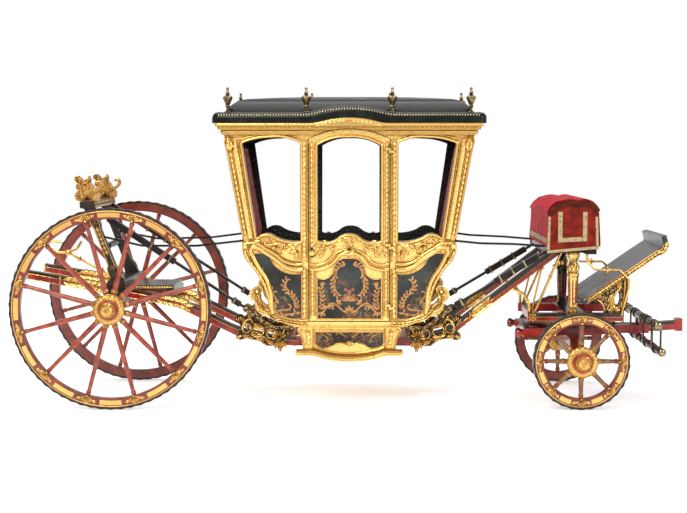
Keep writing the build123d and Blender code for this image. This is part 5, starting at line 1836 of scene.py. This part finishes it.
@dataclass
class RearWork:
    """Gilding of the rear standards, their top rail and crests, the deck and the scrolled iron behind."""

    def lean(self, height: Any) -> Any:
        """How far back the standards' middle stands at a height."""
        return -2024.5 - 235.0 * (height - 1050.0) / 610.0

    def build(self) -> None:
        """Carve it."""
        plain, rich = Clay(), Clay()
        for side in BOTH_SIDES:
            self.standard(*carvers(upright_plate(0.0, 0.435, side), 1.0, plain, rich))
            for y, facing in ((0.480, 1), (0.400, -1)):
                self.crest(Carver(upright_plate(-2.2655, y, side, facing, 1.720), rich))
            Carver(upright_plate(0.0, 0.300, side), plain).rod(
                20, 10, trace((-1940, 971), (-1566, 971)), 7, beads=24, depth=0.7)
        for x, end in ((-2.3215, End.REAR), (-2.1975, End.FRONT)):
            smooth, leafy = carvers(cross_plate(x, end), float(end.value), plain, rich)
            smooth.rod(10, 7, trace((-512, 1704), (512, 1704)), 7)
            leafy.leaf_row(trace((-505, 1680), (505, 1680)), 44, 50, 24, 8)
        for spot, size in (((-2.240, 0.0, 1.094), 1.0), ((-2.430, 0.0, 1.197), 0.8),
                           ((-2.529, 0.0, 1.251), 0.9)):
            plain.put(lathe(KNOB * size / MM, spot, (-0.880, 0.0, 0.475), 20))
        plain.object("rear_mouldings", GILT_PLAIN)
        rich.object("rear_carving", GILT_WHEEL)

    def standard(self, smooth: Carver, leafy: Carver) -> None:
        """Edge mouldings, leaves and rosettes on one standard's face."""
        heights = np.linspace(1062, 1650, 40)
        half = np.interp(heights, [1050, 1130, 1180, 1480, 1530, 1580, 1660], [62, 62, 34, 30, 46, 34, 50])
        middle = np.stack([self.lean(heights), heights], axis=1)
        for way in (-1, 1):
            smooth.rod(9, 6, middle + np.stack([way * (half - 8), 0 * half], axis=1), 7)
        leafy.leaf_row(middle[12:28], 44, 52, 26, 8)
        for y, radius in ((1155, 26), (1530, 24), (1092, 20)):
            leafy.flower(self.lean(y), y, radius, 10)

    def crest(self, carve: Carver) -> None:
        """Leaves, scrolls and a shell on one face of a crest."""
        carve.scrolls(((-20, 20, 150, 200, -60, -190, 20), (10, 30, 60, 220, -40, 220, 22),
                       (-40, 110, 110, 140, 40, -200, 16)), 14)
        carve.leaves(((-60, 30, 165, 50), (-60, 150, 95, 52), (0, 150, 72, 56), (40, 80, 20, 45),
                      (-30, 80, 150, 50), (10, 100, 100, 60), (-70, 100, 80, 45)), 30, 14)
        carve.shell(0, 16, 90, 40, 18, 7, 180)


@dataclass
class Straps:
    """Check straps from the cabin's corners to the rear rail and the driver's seat, and brass buckles."""

    RUNS = (((-0.925, 0.665, 1.400), (-1.32, 0.60, 1.352), (-1.80, 0.50, 1.345), (-2.150, 0.43, 1.420)),
            ((0.835, 0.665, 1.400), (1.05, 0.60, 1.375), (1.34, 0.54, 1.365), (1.612, 0.50, 1.345)))
    BRACES = (((0.800, 0.812), (1.655, 1.325), (0.115, 0.50, 0.62, 0.74)),
              ((-0.920, 0.812), (-2.2595, 1.690), (0.075, 0.48, 0.60, 0.72)))

    def build(self) -> None:
        """Hang the straps and place the buckles."""
        leather, brass = Clay(), Clay()
        for side in BOTH_SIDES:
            for run in self.RUNS:
                knots = np.array(run) * [1.0, side.value, 1.0]
                s = arc_length(knots)
                t = np.linspace(0, s[-1], 40)
                path = np.stack([np.interp(t, s, knots[:, k]) for k in range(3)], axis=1)
                leather.put(carry(path, Z, (strip(4, 18) - [0, 9]) / MM))
            for pin, head, places in self.BRACES:
                self.buckles(side, np.array(pin), np.array(head), places, brass)
        leather.object("check_straps", STRAP_LEATHER)
        brass.object("brace_buckles", BRASS)

    def buckles(self, side: Side, pin: Array, head: Array, places: Sequence[float], brass: Clay) -> None:
        """Frames round one brace at shares of its length, the first one lower than the others."""
        way = unit(head - pin)
        along = np.array([way[0], 0.0, way[1]])
        over = np.array([-way[1], 0.0, way[0]]) * (1 if way[0] > 0 else -1)
        foot, reach = np.array([pin[0], side.value * 0.490, pin[1]]), np.linalg.norm(head - pin)
        for place in places:
            middle = foot + along * place * reach
            high = 31 if place > 0.2 else 28
            path = loop((-37, -high), (37, -high), (37, high), (-37, high), step=12)
            world = middle + (path[:, :1] * Y + path[:, 1:] * over) / MM
            brass.put(carry(world, along, half_round(7, 10, 7, 6) / MM, closed=True), caps=False)


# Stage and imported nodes

@dataclass
class StudioSet:
    """Camera, lights, floor and view settings."""

    camera_at: tuple[float, float, float] = (0.1003, -13.162, 2.170)
    yaw: float = 0.884
    pitch: float = -4.131
    lens_mm: float = 78.72
    ambient: float = 0.62

    def build(self) -> None:
        """Set the stage."""
        scene = bpy.context.scene
        camera = bpy.data.cameras.new("camera")
        camera.lens = self.lens_mm
        camera.sensor_width = 36.0
        holder = bpy.data.objects.new("camera", camera)
        holder.location = self.camera_at
        holder.rotation_euler = (np.radians(90.0 + self.pitch), 0.0, np.radians(self.yaw))
        scene.collection.objects.link(holder)
        scene.camera = holder
        scene.render.resolution_x, scene.render.resolution_y = 687, 513
        world = bpy.data.worlds.new("studio")
        world.use_nodes = True
        tree = world.node_tree
        seen = add(tree, "LightPath", out="Is Camera Ray")
        soft = add(tree, "Background", {"Color": "F6F6F6", "Strength": self.ambient})
        white = add(tree, "Background", {"Color": "FFFFFF", "Strength": 1.0})
        both = add(tree, "MixShader", {0: seen, 1: soft, 2: white})
        tree.links.new(both, tree.nodes["World Output"].inputs["Surface"])
        scene.world = world
        scene.view_settings.view_transform = "Standard"
        scene.view_settings.look = "None"
        scene.view_settings.exposure = 0.0
        self.lamp("key", (-3.0, -9.0, 7.0), (0.0, 0.0, 1.2), 4.0, 640.0, "FFF8EC")
        self.lamp("fill", (7.5, -6.5, 4.5), (0.6, 0.0, 1.1), 3.5, 260.0, "F2F6FF")
        self.lamp("top", (0.0, 0.5, 8.0), (0.0, 0.0, 1.0), 6.0, 360.0, "FFFFFF")
        self.lamp("back", (-6.0, 7.0, 5.0), (0.0, 0.0, 1.4), 4.0, 220.0, "FFFFFF")
        self.floor()

    def lamp(self, name: str, at: Sequence[float], to: Sequence[float], size: float, watts: float,
             colour: str) -> None:
        """Add one square area lamp, turned to a point.

        Args:
            name: its name.
            at: where it hangs.
            to: the point that it faces.
            size: edge length.
            watts: power.
            colour: hex colour.
        """
        light = bpy.data.lights.new(name, "AREA")
        light.shape = "SQUARE"
        light.size = size
        light.energy = watts
        light.color = linear(colour)[:3]
        lamp = bpy.data.objects.new(name, light)
        lamp.location = at
        lamp.rotation_euler = (Vector(to) - Vector(at)).to_track_quat("-Z", "Y").to_euler()
        bpy.context.scene.collection.objects.link(lamp)

    def floor(self) -> None:
        """Lay the plain pale floor, which fades into the white ground far off."""
        half = 60.0
        mesh = bpy.data.meshes.new("floor")
        corners = [(-half, -half, 0), (half, -half, 0), (half, half, 0), (-half, half, 0)]
        mesh.from_pydata(corners, [], [(0, 1, 2, 3)])
        made = bpy.data.materials.new("studio_floor")
        made.use_nodes = True
        shader = made.node_tree.nodes["Principled BSDF"]
        shader.inputs["Base Color"].default_value = linear("F3F3F4")
        shader.inputs["Roughness"].default_value = 0.9
        shader.inputs["Emission Color"].default_value = linear("FFFFFF")
        shader.inputs["Emission Strength"].default_value = 0.42
        tree = made.node_tree
        reach = add(tree, "VectorMath", {0: add(tree, "TexCoord", out="Object")}, "Value", operation="LENGTH")
        far = add(tree, "MapRange", {0: reach, 1: 5.0, 2: 17.0}, interpolation_type="SMOOTHSTEP")
        white = add(tree, "Emission", {"Color": "FFFFFF", "Strength": 1.0})
        both = add(tree, "MixShader", {0: far, 1: shader.outputs["BSDF"], 2: white})
        tree.links.new(both, tree.nodes["Material Output"].inputs["Surface"])
        mesh.materials.append(made)
        floor = bpy.data.objects.new("floor", mesh)
        bpy.context.scene.collection.objects.link(floor)


@dataclass(frozen=True)
class Dressing:
    """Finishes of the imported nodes."""

    rows: tuple[tuple[Finish, tuple[str, ...]], ...] = (
        (GILT_WALL, ("side_wall_right", "side_wall_left", "door_right", "door_left")),
        (GILT_COLUMN, ("front_columns",)),
        (GILT, ("floor_pan", "rear_wall", "front_wall", "door_skirts", "corner_scrolls")),
        (GILT_PLAIN, ("cornice",)),
        (GILT_WHEEL, ("rear_hub_right", "rear_hub_left", "front_hub_right", "front_hub_left",
                      "rear_crests")),
        (GILT_DARK, ("perch_brackets", "footboard_brackets", "body_loops")),
        (PANEL, ("door_panel_right", "door_panel_left", "quarter_panels", "end_panels")),
        (ROOF_LEATHER, ("roof",)),
        (STRAP_LEATHER, ("braces", "seat_frame")),
        (GREY_LEATHER, ("footboard",)),
        (OLD_BRASS, ("roof_finials",)),
        (DARK_WOOD, ("benches", "rear_deck", "rear_bolster", "splinter_bar", "swingletrees", "rear_standards",
                     "rear_rails")),
        (ROSE_VELVET, ("seat_cushions", "wall_squabs")),
        (RED_VELVET, ("hammercloth",)),
        (IRON, ("rear_axle", "front_axle", "turntable", "rear_tyre_right", "rear_tyre_left",
                "front_tyre_right", "front_tyre_left")),
        (GILT_IRON, ("irons",)),
        (PERCH_PAINT, ("perch_right", "perch_left", "upper_carriage", "pole", "futchells")),
        (RED_WOOD, ("perch_cross_bars", "front_axle_bed")),
        (WheelPaint("rear_wheel_lacquer", roughness=0.5, coat=0.15, light="A34A30", dark="6E2014",
                    worn="8A5236", centre=(-2.0245, 0.840), felloe=0.742),
         ("rear_wheel_right", "rear_wheel_left")),
        (WheelPaint("front_wheel_lacquer", roughness=0.5, coat=0.15, light="8C6238", dark="5A3A1E",
                    worn="A88850", centre=(1.8815, 0.405), felloe=0.307),
         ("front_wheel_right", "front_wheel_left")),
    )

    def dress(self) -> None:
        """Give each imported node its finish."""
        for finish, names in self.rows:
            for name in names:
                paint_node(name, finish)


def paint_node(name: str, finish: Finish) -> None:
    """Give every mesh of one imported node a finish.

    Args:
        name: the node.
        finish: its finish.
    """
    for made in bpy.data.objects:
        if made.type == "MESH" and (made.name == name or made.name.split(".")[0] == name):
            made.data.materials.clear()
            made.data.materials.append(finish.material())
            log.info("%s: %s", name, finish.name)


def main() -> None:
    """Build the whole picture."""
    logging.basicConfig(level=logging.INFO, format="%(message)s")
    StudioSet().build()
    Dressing().dress()
    for side in BOTH_SIDES:
        CabinSide(side).build()
        LockPlate(side).build()
        Skirt(side).build()
        Brushwork(side).build()
    for end in BOTH_ENDS:
        EndWall(end).build()
    for wheel in four_wheels():
        wheel.build()
    Upholstery().build()
    Cornice().build()
    Roof().build()
    CornerScrolls().build()
    Perches().build()
    RearWork().build()
    DriverSeat().build()
    FrontWork().build()
    Straps().build()


if __name__ == "__main__":
    main()
